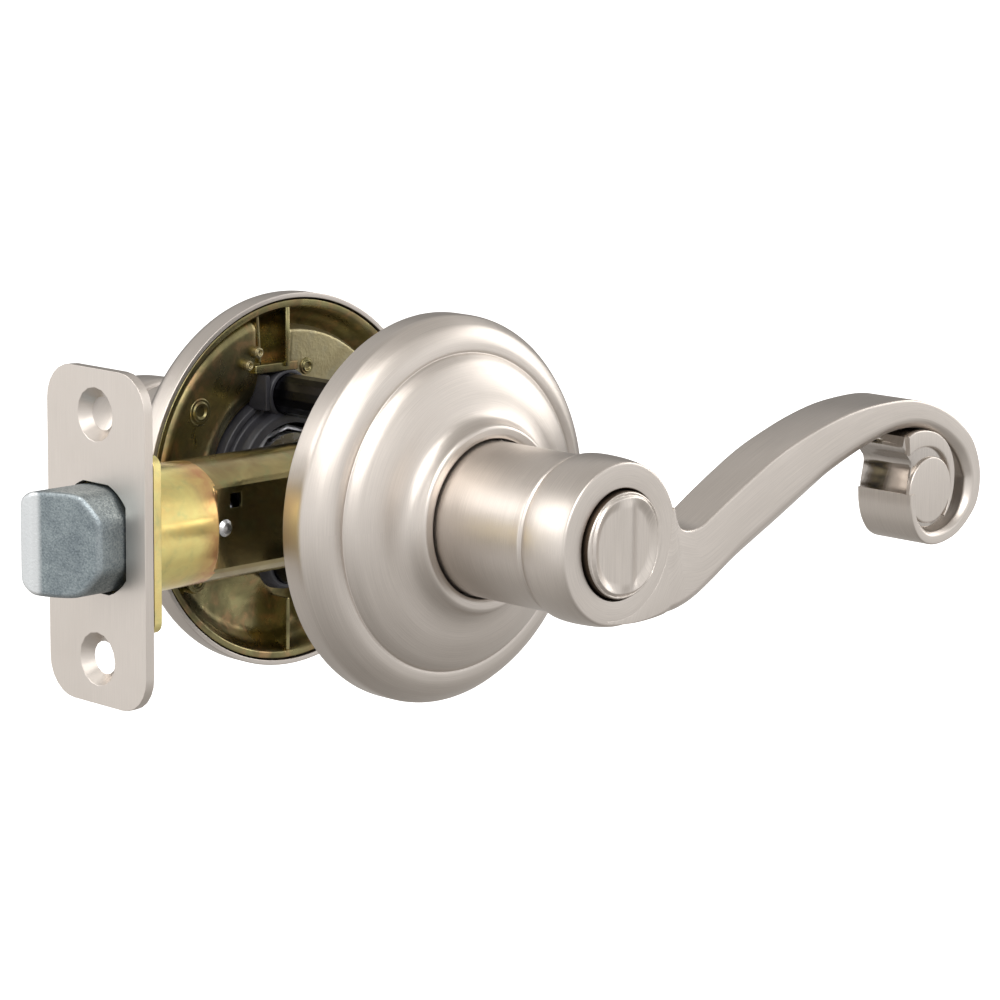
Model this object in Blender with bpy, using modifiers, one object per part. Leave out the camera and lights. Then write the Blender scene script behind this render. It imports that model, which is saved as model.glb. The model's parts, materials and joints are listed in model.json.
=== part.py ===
"""Privacy door lever set: two roses and levers on one spindle, with a sprung latch.

Frame: the origin is on the spindle, halfway through the door. -Y is the room side with the
turn button, +Y the other side, -X the door's edge with the latch, and +Z is up. Sizes below
are in millimetres. Each helper turns them into metres.
"""
import math

import bmesh
import bpy
from mathutils import Vector

MM = 0.001
GAP = 0.3                 # clearance that neighbouring pieces keep
ROUND_STEPS = 44          # facets round a large turned piece
SMALL_STEPS = 16          # facets round a small pin

# The door that the set fits
DOOR_HALF = 17.46         # half of a 35 mm door
BACKSET = 60.3            # spindle to the door's edge

# Roses
ROSE_RADIUS = 34.3
ROSE_SHEET = 0.9
ROSE_BORE = 14.45
ROSE_TOP = 33.3

# Levers
NECK_RADIUS = 13.6
NECK_START = 27.0
HEAD_RADIUS = 14.4
HEAD_START = 53.6
HEAD_FRONT = 63.4
ARM_BACK = 52.4
SCROLL_BACK = 51.0
EYE_CENTRE = (84.6, -1.4)
EYE_RADIUS = 6.3

# Bearings between the levers and the roses
SLEEVE_OUTER = 8.6
SLEEVE_INNER = 7.0
SLEEVE_START = 18.0
SLEEVE_END = 48.0
BEARING_OUTER = 11.9
BEARING_TOP = 36.0
SPINDLE_RADIUS = 3.8
SPINDLE_FLAT = 1.0
CATCH_HEIGHT = 44.0
CATCH_HOLE = 1.9

# Castings inside the roses
CHASSIS_FACE = 19.6       # outer face of the stamped interior plate
CHASSIS_RIM = 31.5
COVER_FLOOR = 24.3        # where the black cover meets the exterior casting
COVER_BORE = 10.4         # room for the return springs

# Screws and their posts, above and below the latch
POST_OFFSET = 15.6
POST_RADIUS = 3.9
POST_END = -13.0          # past the door's middle, towards the room
SCREW_RADIUS = 2.1
SCREW_HEAD_RADIUS = 3.3

# Turn button
BUTTON_RADIUS = 9.1
BUTTON_RECESS = 9.5
RECESS_FLOOR = 60.2
BUTTON_TOP = 65.0

# Latch
PLATE_WIDTH = 25.4
PLATE_HEIGHT = 57.15
PLATE_CORNER = 6.35
PLATE_THICKNESS = 1.8
PLATE_SCREW_OFFSET = 20.8
PLATE_HOLE = 2.8
PLATE_COUNTERSINK = 4.6
TUBE_OUTER = 10.75
TUBE_INNER = 9.9
TUBE_START = BACKSET - 4.4
CASE_START = 41.5
CASE_END = 15.5
CASE_FLAT = 8.2
CASE_FLAT_WALL = 0.6
BOLT_THROW = 11.1
BOLT_NEAR = -7.4          # bolt's side towards the room
BOLT_FAR = 6.4
BOLT_HALF_HEIGHT = 9.0
BOLT_ROUND = 9.55
BOLT_BACK = 51.0
HUB_BARREL = 5.4
HUB_JOURNAL = 6.8
HUB_CAM = 7.4
RIVET_PLACE = 39.0
SEAT_PLACE = 28.5
WEB_PLACE = 18.0
TAIL_LOW = 8.0
TAIL_HIGH = 8.8


# ---------------------------------------------------------------- scene and materials

def clear_scene():
    for obj in list(bpy.data.objects):
        bpy.data.objects.remove(obj, do_unlink=True)


def new_collection(name):
    collection = bpy.data.collections.new(name)
    bpy.context.scene.collection.children.link(collection)
    return collection


def new_material(name, colour, roughness, metallic):
    material = bpy.data.materials.new(name)
    material.use_nodes = True
    shader = material.node_tree.nodes["Principled BSDF"]
    shader.inputs["Base Color"].default_value = (*colour, 1.0)
    shader.inputs["Roughness"].default_value = roughness
    shader.inputs["Metallic"].default_value = metallic
    material.diffuse_color = (*colour, 1.0)
    return material


clear_scene()
PARTS = new_collection("door_lever_set")
CUTTERS = new_collection("cutters")
SATIN_NICKEL = new_material("satin_nickel", (0.70, 0.66, 0.61), 0.32, 1.0)
CAST_ZINC = new_material("cast_zinc", (0.42, 0.46, 0.50), 0.55, 1.0)
GOLD_ZINC = new_material("gold_zinc_plate", (0.72, 0.62, 0.30), 0.30, 1.0)
OLIVE_ZINC = new_material("olive_zinc_casting", (0.30, 0.27, 0.15), 0.42, 1.0)
BLACK_NYLON = new_material("black_nylon", (0.02, 0.02, 0.022), 0.40, 0.0)
BLACK_STEEL = new_material("black_steel", (0.05, 0.05, 0.06), 0.35, 1.0)
BRIGHT_STEEL = new_material("bright_steel", (0.62, 0.63, 0.65), 0.28, 1.0)
SPRING_STEEL = new_material("spring_steel", (0.40, 0.40, 0.42), 0.30, 1.0)


def frame_empty(name, rotation):
    empty = bpy.data.objects.new(name, None)
    empty.rotation_euler = rotation
    empty.empty_display_size = 10 * MM
    PARTS.objects.link(empty)
    return empty


# In each of these frames +Z runs outwards: away from the door's middle, or to the door's edge.
INTERIOR = frame_empty("interior_axis", (math.radians(90), 0, 0))
EXTERIOR = frame_empty("exterior_axis", (math.radians(-90), 0, 0))
LATCH = frame_empty("latch_axis", (0, math.radians(-90), 0))
UPRIGHT = frame_empty("upright_axis", (0, 0, 0))
SIDES = (("interior", INTERIOR, 1), ("exterior", EXTERIOR, -1))


# ---------------------------------------------------------------- shape helpers

def place(name, mesh, frame, material=None, location=(0, 0, 0), rotation=(0, 0, 0)):
    """Link a mesh as a named part, or as a cutter when it has no material."""
    obj = bpy.data.objects.new(name, mesh)
    obj.parent = frame
    obj.location = Vector(location) * MM
    obj.rotation_euler = rotation
    if material is None:
        CUTTERS.objects.link(obj)
        obj.hide_render = True
        obj.display_type = "WIRE"
    else:
        PARTS.objects.link(obj)
        mesh.materials.append(material)
        mesh.shade_smooth()
        mesh.set_sharp_from_angle(angle=math.radians(35))
    return obj


def turned(name, profile, frame, material=None, steps=ROUND_STEPS, location=(0, 0, 0),
           rotation=(0, 0, 0)):
    """Turn a profile of (radius, height) about Z. It runs from the top down its outer side."""
    mesh = bpy.data.meshes.new(name)
    points = [(radius * MM, 0, height * MM) for radius, height in profile]
    solid = profile[0][0] == 0 and profile[-1][0] == 0
    edges = [(i, i + 1) for i in range(len(points) - 1)]
    if not solid:
        edges.append((len(points) - 1, 0))
    mesh.from_pydata(points, edges, [])
    obj = place(name, mesh, frame, material, location, rotation)
    screw = obj.modifiers.new("turn", "SCREW")
    screw.steps = steps
    screw.render_steps = steps
    screw.use_merge_vertices = True
    screw.merge_threshold = 0.00001
    screw.use_smooth_shade = True
    return obj


def ring(name, inner, outer, low, high, frame, material=None, **options):
    profile = [(inner, high), (outer, high), (outer, low), (inner, low)]
    return turned(name, profile, frame, material, **options)


def pin(name, radius, low, high, frame, material=None, **options):
    options.setdefault("steps", SMALL_STEPS)
    profile = [(0, high), (radius, high), (radius, low), (0, low)]
    return turned(name, profile, frame, material, **options)


def box(name, low, high, frame, material=None, **options):
    """A box between two corners."""
    size = [(b - a) * MM for a, b in zip(low, high)]
    centre = [(a + b) / 2 * MM for a, b in zip(low, high)]
    shape = bmesh.new()
    bmesh.ops.create_cube(shape, size=1.0)
    bmesh.ops.scale(shape, vec=size, verts=shape.verts)
    bmesh.ops.translate(shape, vec=centre, verts=shape.verts)
    mesh = bpy.data.meshes.new(name)
    shape.to_mesh(mesh)
    shape.free()
    return place(name, mesh, frame, material, **options)


def flat(name, outline, low, high, frame, material=None, **options):
    """Extrude a closed outline of (x, y) between two heights."""
    curve = bpy.data.curves.new(name, "CURVE")
    curve.dimensions = "2D"
    curve.fill_mode = "BOTH"
    curve.extrude = (high - low) / 2 * MM
    spline = curve.splines.new("POLY")
    spline.points.add(len(outline) - 1)
    for point, (x, y) in zip(spline.points, outline):
        point.co = (x * MM, y * MM, 0, 1)
    spline.use_cyclic_u = True
    guide = bpy.data.objects.new(name, curve)
    CUTTERS.objects.link(guide)
    graph = bpy.context.evaluated_depsgraph_get()
    mesh = bpy.data.meshes.new_from_object(guide.evaluated_get(graph))
    bpy.data.objects.remove(guide)
    shape = bmesh.new()
    shape.from_mesh(mesh)
    bmesh.ops.remove_doubles(shape, verts=shape.verts, dist=0.00001)
    bmesh.ops.translate(shape, vec=(0, 0, (low + high) / 2 * MM), verts=shape.verts)
    bmesh.ops.recalc_face_normals(shape, faces=shape.faces)
    shape.to_mesh(mesh)
    shape.free()
    mesh.name = name
    return place(name, mesh, frame, material, **options)


def cut(obj, *tools):
    for tool in tools:
        modifier = obj.modifiers.new("cut_" + tool.name, "BOOLEAN")
        modifier.operation = "DIFFERENCE"
        modifier.object = tool


def join(obj, *tools):
    for tool in tools:
        modifier = obj.modifiers.new("join_" + tool.name, "BOOLEAN")
        modifier.operation = "UNION"
        modifier.object = tool


def soften(obj, width, segments=2, angle=40):
    modifier = obj.modifiers.new("soft_edges", "BEVEL")
    modifier.width = width * MM
    modifier.segments = segments
    modifier.limit_method = "ANGLE"
    modifier.angle_limit = math.radians(angle)
    modifier.use_clamp_overlap = True


def arc(centre, radius, start, end, steps):
    """Points on an arc, with its angles in degrees."""
    points = []
    for i in range(steps + 1):
        angle = math.radians(start + (end - start) * i / steps)
        points.append((centre[0] + radius * math.cos(angle), centre[1] + radius * math.sin(angle)))
    return points


def rounded_rectangle(half_x, half_y, corner, steps=6):
    points = []
    for i, (sign_x, sign_y) in enumerate(((1, 1), (-1, 1), (-1, -1), (1, -1))):
        centre = (sign_x * (half_x - corner), sign_y * (half_y - corner))
        points += arc(centre, corner, 90 * i, 90 * i + 90, steps)
    return points


def smooth_line(points, steps):
    """A smooth open curve through the given points (Catmull-Rom)."""
    padded = [points[0]] + list(points) + [points[-1]]
    line = []
    for i in range(1, len(padded) - 2):
        before, start, end, after = padded[i - 1:i + 3]
        for j in range(steps):
            t = j / steps
            line.append(tuple(
                0.5 * (2 * b + (c - a) * t + (2 * a - 5 * b + 4 * c - d) * t ** 2
                       + (3 * b - a - 3 * c + d) * t ** 3)
                for a, b, c, d in zip(before, start, end, after)))
    line.append(tuple(points[-1]))
    return line


def d_outline(radius, flat_at, steps=24):
    """A half-round section: a circle cut by a flat at x = flat_at."""
    corner = math.degrees(math.acos(flat_at / radius))
    return arc((0, 0), radius, corner, 360 - corner, steps)


def coil(name, radius, wire, low, high, turns, frame, material, steps=12):
    """A spring: a round wire along a helix about Z."""
    curve = bpy.data.curves.new(name, "CURVE")
    curve.dimensions = "3D"
    curve.bevel_depth = wire * MM
    curve.bevel_resolution = 2
    curve.use_fill_caps = True
    count = int(turns * steps)
    spline = curve.splines.new("POLY")
    spline.points.add(count)
    for i, point in enumerate(spline.points):
        angle = 2 * math.pi * i / steps
        height = low + (high - low) * i / count
        point.co = (radius * math.cos(angle) * MM, radius * math.sin(angle) * MM, height * MM, 1)
    obj = bpy.data.objects.new(name, curve)
    curve.materials.append(material)
    obj.parent = frame
    PARTS.objects.link(obj)
    return obj


# ---------------------------------------------------------------- roses and their castings

def rose_profile():
    """The rose's outer line from its collar down to the rim, then the inner line back up."""
    outer = [(ROSE_BORE, ROSE_TOP), (16.1, ROSE_TOP), (16.5, 32.6), (16.9, 31.5), (18.4, 30.3),
             (21.0, 29.3), (24.6, 28.0), (27.2, 26.5), (27.9, 25.7), (28.7, 25.5), (31.0, 25.0),
             (32.8, 24.2), (33.9, 22.9), (ROSE_RADIUS, 21.3), (ROSE_RADIUS, DOOR_HALF)]
    inner = [(ROSE_RADIUS - ROSE_SHEET, DOOR_HALF), (ROSE_RADIUS - ROSE_SHEET, 21.2),
             (33.0, 22.5), (32.1, 23.5), (30.7, 24.1), (27.6, 24.5), (26.6, 25.6), (24.1, 27.1),
             (20.6, 28.4), (17.8, 29.5), (15.9, 31.0), (15.4, 32.2), (ROSE_BORE, 32.2)]
    return outer + inner


def make_roses():
    for side, frame, _ in SIDES:
        turned(side + "_rose", rose_profile(), frame, SATIN_NICKEL)


def make_interior_chassis():
    """The stamped plate behind the interior rose, with the lever's bearing."""
    profile = [(SLEEVE_OUTER + GAP, BEARING_TOP), (BEARING_OUTER, BEARING_TOP),
               (BEARING_OUTER, CHASSIS_FACE), (CHASSIS_RIM, CHASSIS_FACE),
               (CHASSIS_RIM, DOOR_HALF + 0.15), (COVER_BORE, DOOR_HALF + 0.15),
               (COVER_BORE, COVER_FLOOR), (SLEEVE_OUTER + GAP, COVER_FLOOR)]
    plate = turned("interior_chassis", profile, INTERIOR, BRIGHT_STEEL)
    for i, offset in enumerate((POST_OFFSET, -POST_OFFSET)):
        cut(plate, pin(f"screw_hole_{i}", SCREW_RADIUS + GAP, 15, 21, INTERIOR,
                       location=(0, offset, 0)))
    for i, angle in enumerate((30, 150, 210, 330)):
        x = 22 * math.cos(math.radians(angle))
        y = 22 * math.sin(math.radians(angle))
        cut(plate, pin(f"lightening_hole_{i}", 3.2, 15, 21, INTERIOR, location=(x, y, 0)))
    ring("interior_rose_liner", 26.0, 30.6, CHASSIS_FACE + GAP, 22.6, INTERIOR, BLACK_NYLON)


def make_exterior_chassis():
    """The ribbed casting inside the exterior rose."""
    profile = [(SLEEVE_OUTER + GAP, BEARING_TOP), (BEARING_OUTER, BEARING_TOP),
               (BEARING_OUTER, 26.6), (23.4, 26.2), (26.2, 24.6), (27.4, 23.9), (30.4, 23.4),
               (32.0, 22.6), (32.9, 21.0), (32.9, DOOR_HALF + 0.25), (31.6, DOOR_HALF + 0.25),
               (31.0, 20.6), (28.6, 22.0), (24.9, 22.6), (24.4, 18.6), (23.0, 18.6),
               (22.6, 24.6), (SLEEVE_OUTER + GAP, 24.6)]
    casting = turned("exterior_chassis", profile, EXTERIOR, OLIVE_ZINC)
    for i, angle in enumerate((84, 96, 160, 200, 264, 276, 340, 20)):
        join(casting, box(f"rib_{i}", (24.0, -0.55, 18.4), (31.7, 0.55, 23.2), EXTERIOR,
                          rotation=(0, 0, math.radians(angle))))
    join(casting, pin("cast_boss", 3.0, 19.6, 23.2, EXTERIOR, location=(-24.5, -12.5, 0)))
    for i, offset in enumerate((POST_OFFSET, -POST_OFFSET)):
        cut(casting, pin(f"rivet_hole_{i}", 2.1, 20, 30, EXTERIOR, location=(0, offset, 0)))


def make_exterior_cover():
    """The black cover over the exterior drive, which the screw posts pass."""
    profile = [(COVER_BORE, COVER_FLOOR), (19.5, COVER_FLOOR), (19.5, 22.6), (18.7, 21.8),
               (12.8, 21.8), (12.8, 18.6), (12.2, 18.0), (COVER_BORE, 18.0)]
    cover = turned("exterior_drive_cover", profile, EXTERIOR, BLACK_NYLON)
    for i, offset in enumerate((POST_OFFSET, -POST_OFFSET)):
        cut(cover, pin(f"post_hole_{i}", POST_RADIUS + GAP, 16, 27, EXTERIOR,
                       location=(0, offset, 0)))


def make_posts_and_screws():
    for name, offset in (("upper", POST_OFFSET), ("lower", -POST_OFFSET)):
        post = turned("screw_post_" + name,
                      [(0, 26.0), (1.8, 26.0), (1.8, COVER_FLOOR), (POST_RADIUS, COVER_FLOOR),
                       (POST_RADIUS, POST_END + 0.4), (POST_RADIUS - 0.4, POST_END),
                       (0, POST_END)],
                      EXTERIOR, BLACK_STEEL, steps=SMALL_STEPS, location=(0, -offset, 0))
        cut(post, pin("thread_" + name, SCREW_RADIUS + 0.15, POST_END - 2, 9, EXTERIOR,
                      location=(0, -offset, 0)))
        head_low = CHASSIS_FACE + 0.1
        head_high = head_low + 2.2
        screw = turned("mounting_screw_" + name,
                       [(0, head_high), (SCREW_HEAD_RADIUS - 0.9, head_high),
                        (SCREW_HEAD_RADIUS, head_high - 0.8), (SCREW_HEAD_RADIUS, head_low),
                        (SCREW_RADIUS, head_low), (SCREW_RADIUS, -6.0), (0, -6.6)],
                       INTERIOR, BRIGHT_STEEL, steps=SMALL_STEPS, location=(0, offset, 0))
        for i, angle in enumerate((0, 90)):
            cut(screw, box(f"drive_slot_{name}_{i}", (-1.8, -0.45, head_high - 1.2),
                           (1.8, 0.45, head_high + 1), INTERIOR, location=(0, offset, 0),
                           rotation=(0, 0, math.radians(angle))))


# ---------------------------------------------------------------- levers

def arm_outline(sign):
    """The lever arm: a tapering band along an S-shaped line that curls round into a scroll."""
    spine = [(1.0, -7.4, 6.9), (9.0, -6.9, 6.8), (17.0, -6.1, 6.2), (25.0, -3.7, 6.0), (34.0, 0.5, 6.0),
             (46.0, 6.0, 5.9), (56.0, 9.6, 5.2), (66.0, 12.2, 4.2), (75.0, 13.3, 3.1),
             (83.0, 12.7, 2.6), (89.8, 10.0, 2.2), (95.0, 5.2, 2.0), (97.5, -0.8, 1.9),
             (96.8, -5.6, 1.8), (93.6, -9.0, 1.6), (89.2, -10.4, 1.4), (84.6, -10.2, 1.4)]
    line = smooth_line(spine, 4)
    near, far = [], []
    for i, (x, y, half) in enumerate(line):
        before = line[max(i - 1, 0)]
        after = line[min(i + 1, len(line) - 1)]
        run = Vector((after[0] - before[0], after[1] - before[1])).normalized()
        near.append((x - run.y * half, sign * (y + run.x * half)))
        far.append((x + run.y * half, sign * (y - run.x * half)))
    return near + far[::-1]


def make_lever(side, frame, sign):
    """A hollow neck, a head and the curled arm, cast in one piece."""
    inner_bore = 5.2 if side == "interior" else 1.6
    front = [(inner_bore, HEAD_FRONT)]
    bottom = [(inner_bore, SLEEVE_END + GAP)]
    if side == "interior":
        front = [(inner_bore, RECESS_FLOOR), (BUTTON_RECESS, RECESS_FLOOR),
                 (BUTTON_RECESS, HEAD_FRONT)]
    profile = front + [
        (HEAD_RADIUS - 0.9, HEAD_FRONT), (HEAD_RADIUS, HEAD_FRONT - 0.9),
        (HEAD_RADIUS, HEAD_START + 0.6), (HEAD_RADIUS - 0.5, HEAD_START),
        (NECK_RADIUS - 0.6, HEAD_START - 0.2), (NECK_RADIUS - 0.6, HEAD_START - 0.8),
        (NECK_RADIUS, HEAD_START - 1.0), (NECK_RADIUS, NECK_START),
        (BEARING_OUTER + GAP, NECK_START), (BEARING_OUTER + GAP, BEARING_TOP + 2.5),
        (SLEEVE_OUTER + GAP, BEARING_TOP + 2.5), (SLEEVE_OUTER + GAP, SLEEVE_END + GAP)] + bottom
    lever = turned(side + "_lever", profile, frame, SATIN_NICKEL)
    arm = flat(side + "_arm", arm_outline(sign), ARM_BACK, HEAD_FRONT - 0.02, frame)
    cut(arm, pin(side + "_head_core", HEAD_RADIUS - 1.6, ARM_BACK - 2, HEAD_FRONT + 2, frame,
                 steps=ROUND_STEPS))
    eye = pin(side + "_eye", EYE_RADIUS, SCROLL_BACK, HEAD_FRONT - 0.3, frame,
              location=(EYE_CENTRE[0], sign * EYE_CENTRE[1], 0))
    coil_pad = pin(side + "_inner_curl", 8.3, SCROLL_BACK + 4, HEAD_FRONT - 0.6, frame,
                   location=(84.0, sign * 0.6, 0))
    root_low, root_high = sorted((-11.2 * sign, -4.0 * sign))
    root = box(side + "_curl_root", (84.0, root_low, SCROLL_BACK + 0.4),
               (87.0, root_high, HEAD_FRONT - 0.4), frame)
    join(lever, arm, eye, coil_pad, root)
    cut(lever, pin(side + "_catch_hole", CATCH_HOLE, 0, 20, frame,
                   location=(0, 0, CATCH_HEIGHT), rotation=(math.radians(90 * sign), 0, 0)))


def make_drive(side, frame, sign):
    """The steel sleeve inside a lever, its ring, its return spring and the lever's catch."""
    sleeve = turned(side + "_drive_sleeve",
                    [(0, SLEEVE_START + 3), (SLEEVE_INNER, SLEEVE_START + 3),
                     (SLEEVE_INNER, SLEEVE_END), (SLEEVE_OUTER, SLEEVE_END),
                     (SLEEVE_OUTER, SLEEVE_START), (0, SLEEVE_START)],
                    frame, BRIGHT_STEEL, steps=ROUND_STEPS)
    hole = flat(side + "_spindle_hole", d_outline(SPINDLE_RADIUS + GAP, SPINDLE_FLAT + GAP), 16, 23,
                frame)
    catch_hole = pin(side + "_sleeve_hole", CATCH_HOLE, 0, 20, frame,
                     location=(0, 0, CATCH_HEIGHT), rotation=(math.radians(90 * sign), 0, 0))
    cut(sleeve, hole, catch_hole)
    ring(side + "_snap_ring", SLEEVE_OUTER + 0.1, 11.0, BEARING_TOP + 0.4, BEARING_TOP + 1.6, frame,
         SPRING_STEEL, steps=ROUND_STEPS)
    pin(side + "_lever_catch", 1.6, 5.6, NECK_RADIUS - 0.5, frame, BRIGHT_STEEL,
        location=(0, 0, CATCH_HEIGHT), rotation=(math.radians(90 * sign), 0, 0))
    coil(side + "_return_spring", 9.6, 0.5, 18.7, 23.4, 4.25, frame, SPRING_STEEL)


def make_spindle():
    flat("half_round_spindle", d_outline(SPINDLE_RADIUS, SPINDLE_FLAT), -30.0, 40.0, EXTERIOR,
         BRIGHT_STEEL)


# ---------------------------------------------------------------- turn button

def make_button():
    button = turned("turn_button",
                    [(0, BUTTON_TOP), (5.6, BUTTON_TOP), (6.8, BUTTON_TOP - 0.5),
                     (BUTTON_RADIUS - 0.5, BUTTON_TOP - 0.7), (BUTTON_RADIUS, BUTTON_TOP - 1.2),
                     (BUTTON_RADIUS, RECESS_FLOOR + 0.4), (0, RECESS_FLOOR + 0.4)],
                    INTERIOR, SATIN_NICKEL, steps=ROUND_STEPS)
    for i, sign in enumerate((1, -1)):
        cut(button, pin(f"finger_scoop_{i}", 9.0, -6.2, 6.2, INTERIOR,
                        location=(sign * 5.8, 0, BUTTON_TOP + 7.4),
                        rotation=(math.radians(90), 0, 0)))
    shaft = box("button_shaft", (-2.0, -0.8, 33.4), (2.0, 0.8, RECESS_FLOOR + 0.1), INTERIOR,
                BRIGHT_STEEL)
    soften(shaft, 0.2)
    washer = ring("button_washer", 3.0, 6.6, 47.0 - 1.2, 47.0, INTERIOR, SPRING_STEEL, steps=32)
    cut(washer, box("washer_slot", (-0.6, 2.0, 44), (0.6, 8.0, 49), INTERIOR))
    cam = flat("lock_cam", arc((0, 0), 6.2, -35, 35, 8) + arc((0, 0), 6.2, 145, 215, 8), 31.0,
               33.1, INTERIOR, BRIGHT_STEEL)
    soften(cam, 0.2)


# ---------------------------------------------------------------- latch

def make_faceplates():
    """The faceplate with its screw holes and the stiffening plate behind it."""
    front = BACKSET
    back = front - PLATE_THICKNESS
    plate = flat("latch_faceplate",
                 rounded_rectangle(PLATE_HEIGHT / 2, PLATE_WIDTH / 2, PLATE_CORNER), back, front,
                 LATCH, SATIN_NICKEL)
    slot = bolt_outline(GAP)
    cut(plate, flat("plate_bolt_slot", slot, back - 2, front + 2, LATCH))
    for i, sign in enumerate((1, -1)):
        cut(plate, turned(f"countersink_{i}",
                          [(0, front + 1), (PLATE_COUNTERSINK, front + 1),
                           (PLATE_COUNTERSINK, front), (PLATE_HOLE, back),
                           (PLATE_HOLE, back - 1), (0, back - 1)],
                          LATCH, steps=SMALL_STEPS, location=(sign * PLATE_SCREW_OFFSET, 0, 0)))
    backer = flat("latch_backplate", rounded_rectangle(15.0, PLATE_WIDTH / 2 - 0.2, 2.0),
                  back - 0.3 - 1.6, back - 0.3, LATCH, GOLD_ZINC)
    cut(backer, flat("backer_bolt_slot", slot, back - 5, front, LATCH))


def bolt_outline(margin):
    """The bolt's section, seen along the latch: a block whose corners follow the tube."""
    radius = BOLT_ROUND + margin
    top_angle = math.degrees(math.acos((BOLT_HALF_HEIGHT + margin) / radius))
    far_angle = math.degrees(math.asin((BOLT_FAR + margin) / radius))
    near_angle = math.degrees(math.asin((BOLT_NEAR - margin) / radius))
    return (arc((0, 0), radius, top_angle, far_angle, 4)
            + arc((0, 0), radius, 180 - far_angle, 180 - top_angle, 4)
            + arc((0, 0), radius, 180 + top_angle, 180 - near_angle, 4)
            + arc((0, 0), radius, near_angle, -top_angle, 4))


def flattened_circle(radius, half_width, steps=14):
    """A circle about the latch axis with its two sides cut flat at y = +-half_width."""
    corner = math.degrees(math.asin(half_width / radius))
    return (arc((0, 0), radius, -corner, corner, steps)
            + arc((0, 0), radius, 180 - corner, 180 + corner, steps))


def make_tube():
    """The round sleeve at the door's edge and the flattened case that holds the works."""
    ring("latch_tube", TUBE_INNER, TUBE_OUTER, CASE_START + 0.15, TUBE_START - 0.1, LATCH,
         GOLD_ZINC)
    case = flat("latch_case", flattened_circle(TUBE_OUTER, CASE_FLAT), -CASE_END,
                CASE_START - 0.15, LATCH, OLIVE_ZINC)
    cut(case,
        flat("case_hollow", flattened_circle(TUBE_INNER, CASE_FLAT - CASE_FLAT_WALL),
             -CASE_END + 1.0, CASE_START + 2, LATCH),
        pin("hub_bearing", HUB_JOURNAL + GAP, -15, 15, INTERIOR, steps=ROUND_STEPS),
        pin("rivet_bores", 1.0, -15, 15, INTERIOR, location=(-RIVET_PLACE, 0, 0)),
        box("pierced_square", (-37.8, -12, 3.2), (-35.2, -6, 5.8), UPRIGHT))
    for name, frame in (("near", INTERIOR), ("far", EXTERIOR)):
        head = CASE_FLAT + 0.15
        turned("case_rivet_" + name,
               [(0, head + 0.6), (0.9, head + 0.5), (1.5, head), (0.8, head),
                (0.8, CASE_FLAT - CASE_FLAT_WALL + 0.15), (0, CASE_FLAT - CASE_FLAT_WALL + 0.15)],
               frame, BRIGHT_STEEL, steps=24, location=(-RIVET_PLACE, 0, 0))
    seat = flat("spring_seat", flattened_circle(TUBE_INNER - GAP, 7.3), SEAT_PLACE - 1.5,
                SEAT_PLACE, LATCH, OLIVE_ZINC)
    cut(seat, box("tail_notch", (TAIL_LOW - 0.4, -3.1, 20), (12, 3.1, 32), LATCH))


def make_hub():
    """The barrel that the spindle turns, with a cam above and below."""
    hub = turned("latch_hub",
                 [(0, 8.6), (HUB_JOURNAL, 8.6), (HUB_JOURNAL, 7.3), (HUB_BARREL, 7.3),
                  (HUB_BARREL, -7.3), (HUB_JOURNAL, -7.3), (HUB_JOURNAL, -8.6), (0, -8.6)],
                 INTERIOR, GOLD_ZINC, steps=ROUND_STEPS)
    join(hub, box("hub_cams", (-1.6, -HUB_CAM, -3.5), (1.6, HUB_CAM, 3.5), INTERIOR))
    cut(hub, flat("hub_spindle_hole", d_outline(SPINDLE_RADIUS + GAP, SPINDLE_FLAT + GAP), -12,
                  12, INTERIOR))


def make_drawbar():
    """Two forked plates astride the hub, tied by a web that pulls the bolt's tail."""
    bar = box("drawbar", (-7.4, -5.8, WEB_PLACE), (7.4, 5.8, WEB_PLACE + 2.0), LATCH, OLIVE_ZINC)
    for i, (x, y) in enumerate(((1, 1), (1, -1), (-1, 1), (-1, -1))):
        low = (min(x * 5.9, x * 7.4), min(y * 4.4, y * 5.8), -2.0)
        high = (max(x * 5.9, x * 7.4), max(y * 4.4, y * 5.8), WEB_PLACE + 1.0)
        join(bar, box(f"fork_rail_{i}", low, high, LATCH))
    for i, y in enumerate((1, -1)):
        join(bar, box(f"web_ear_{i}", (7.0, min(y * 2.9, y * 3.9), WEB_PLACE + 0.1),
                      (8.7, max(y * 2.9, y * 3.9), WEB_PLACE + 1.9), LATCH))


def make_bolt():
    """The bevelled bolt, and the strip behind it that the drawbar pulls."""
    tip = BACKSET + BOLT_THROW
    bolt = flat("latch_bolt", bolt_outline(0), BOLT_BACK, tip, LATCH, CAST_ZINC)
    bevel_rise = 1.79     # how far the slanted face falls back for each mm towards the door
    tip_edge = 3.2
    bevel = flat("bolt_bevel",
                 [(-tip - 2, tip_edge + 2 * bevel_rise), (-tip + 9, tip_edge - 9 * bevel_rise),
                  (-tip - 2, tip_edge - 9 * bevel_rise)], -14, 14, UPRIGHT)
    notch = box("bolt_notch", (TAIL_LOW - GAP, -2.8, BOLT_BACK - 2), (12, 2.8, BOLT_BACK + 5),
                LATCH)
    cut(bolt, bevel, notch)
    soften(bolt, 0.5)
    tail = box("bolt_tail", (TAIL_LOW, -2.5, WEB_PLACE - 1.0), (TAIL_HIGH, 2.5, BOLT_BACK + 4.7),
               LATCH, OLIVE_ZINC)
    join(tail, box("tail_hook", (TAIL_LOW + 0.05, -3.9, WEB_PLACE - 1.9),
                   (TAIL_HIGH - 0.1, 3.9, WEB_PLACE - GAP), LATCH))
    coil("bolt_spring", 5.5, 0.55, SEAT_PLACE + 0.9, BOLT_BACK - 0.9, 7, LATCH, SPRING_STEEL)


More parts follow.
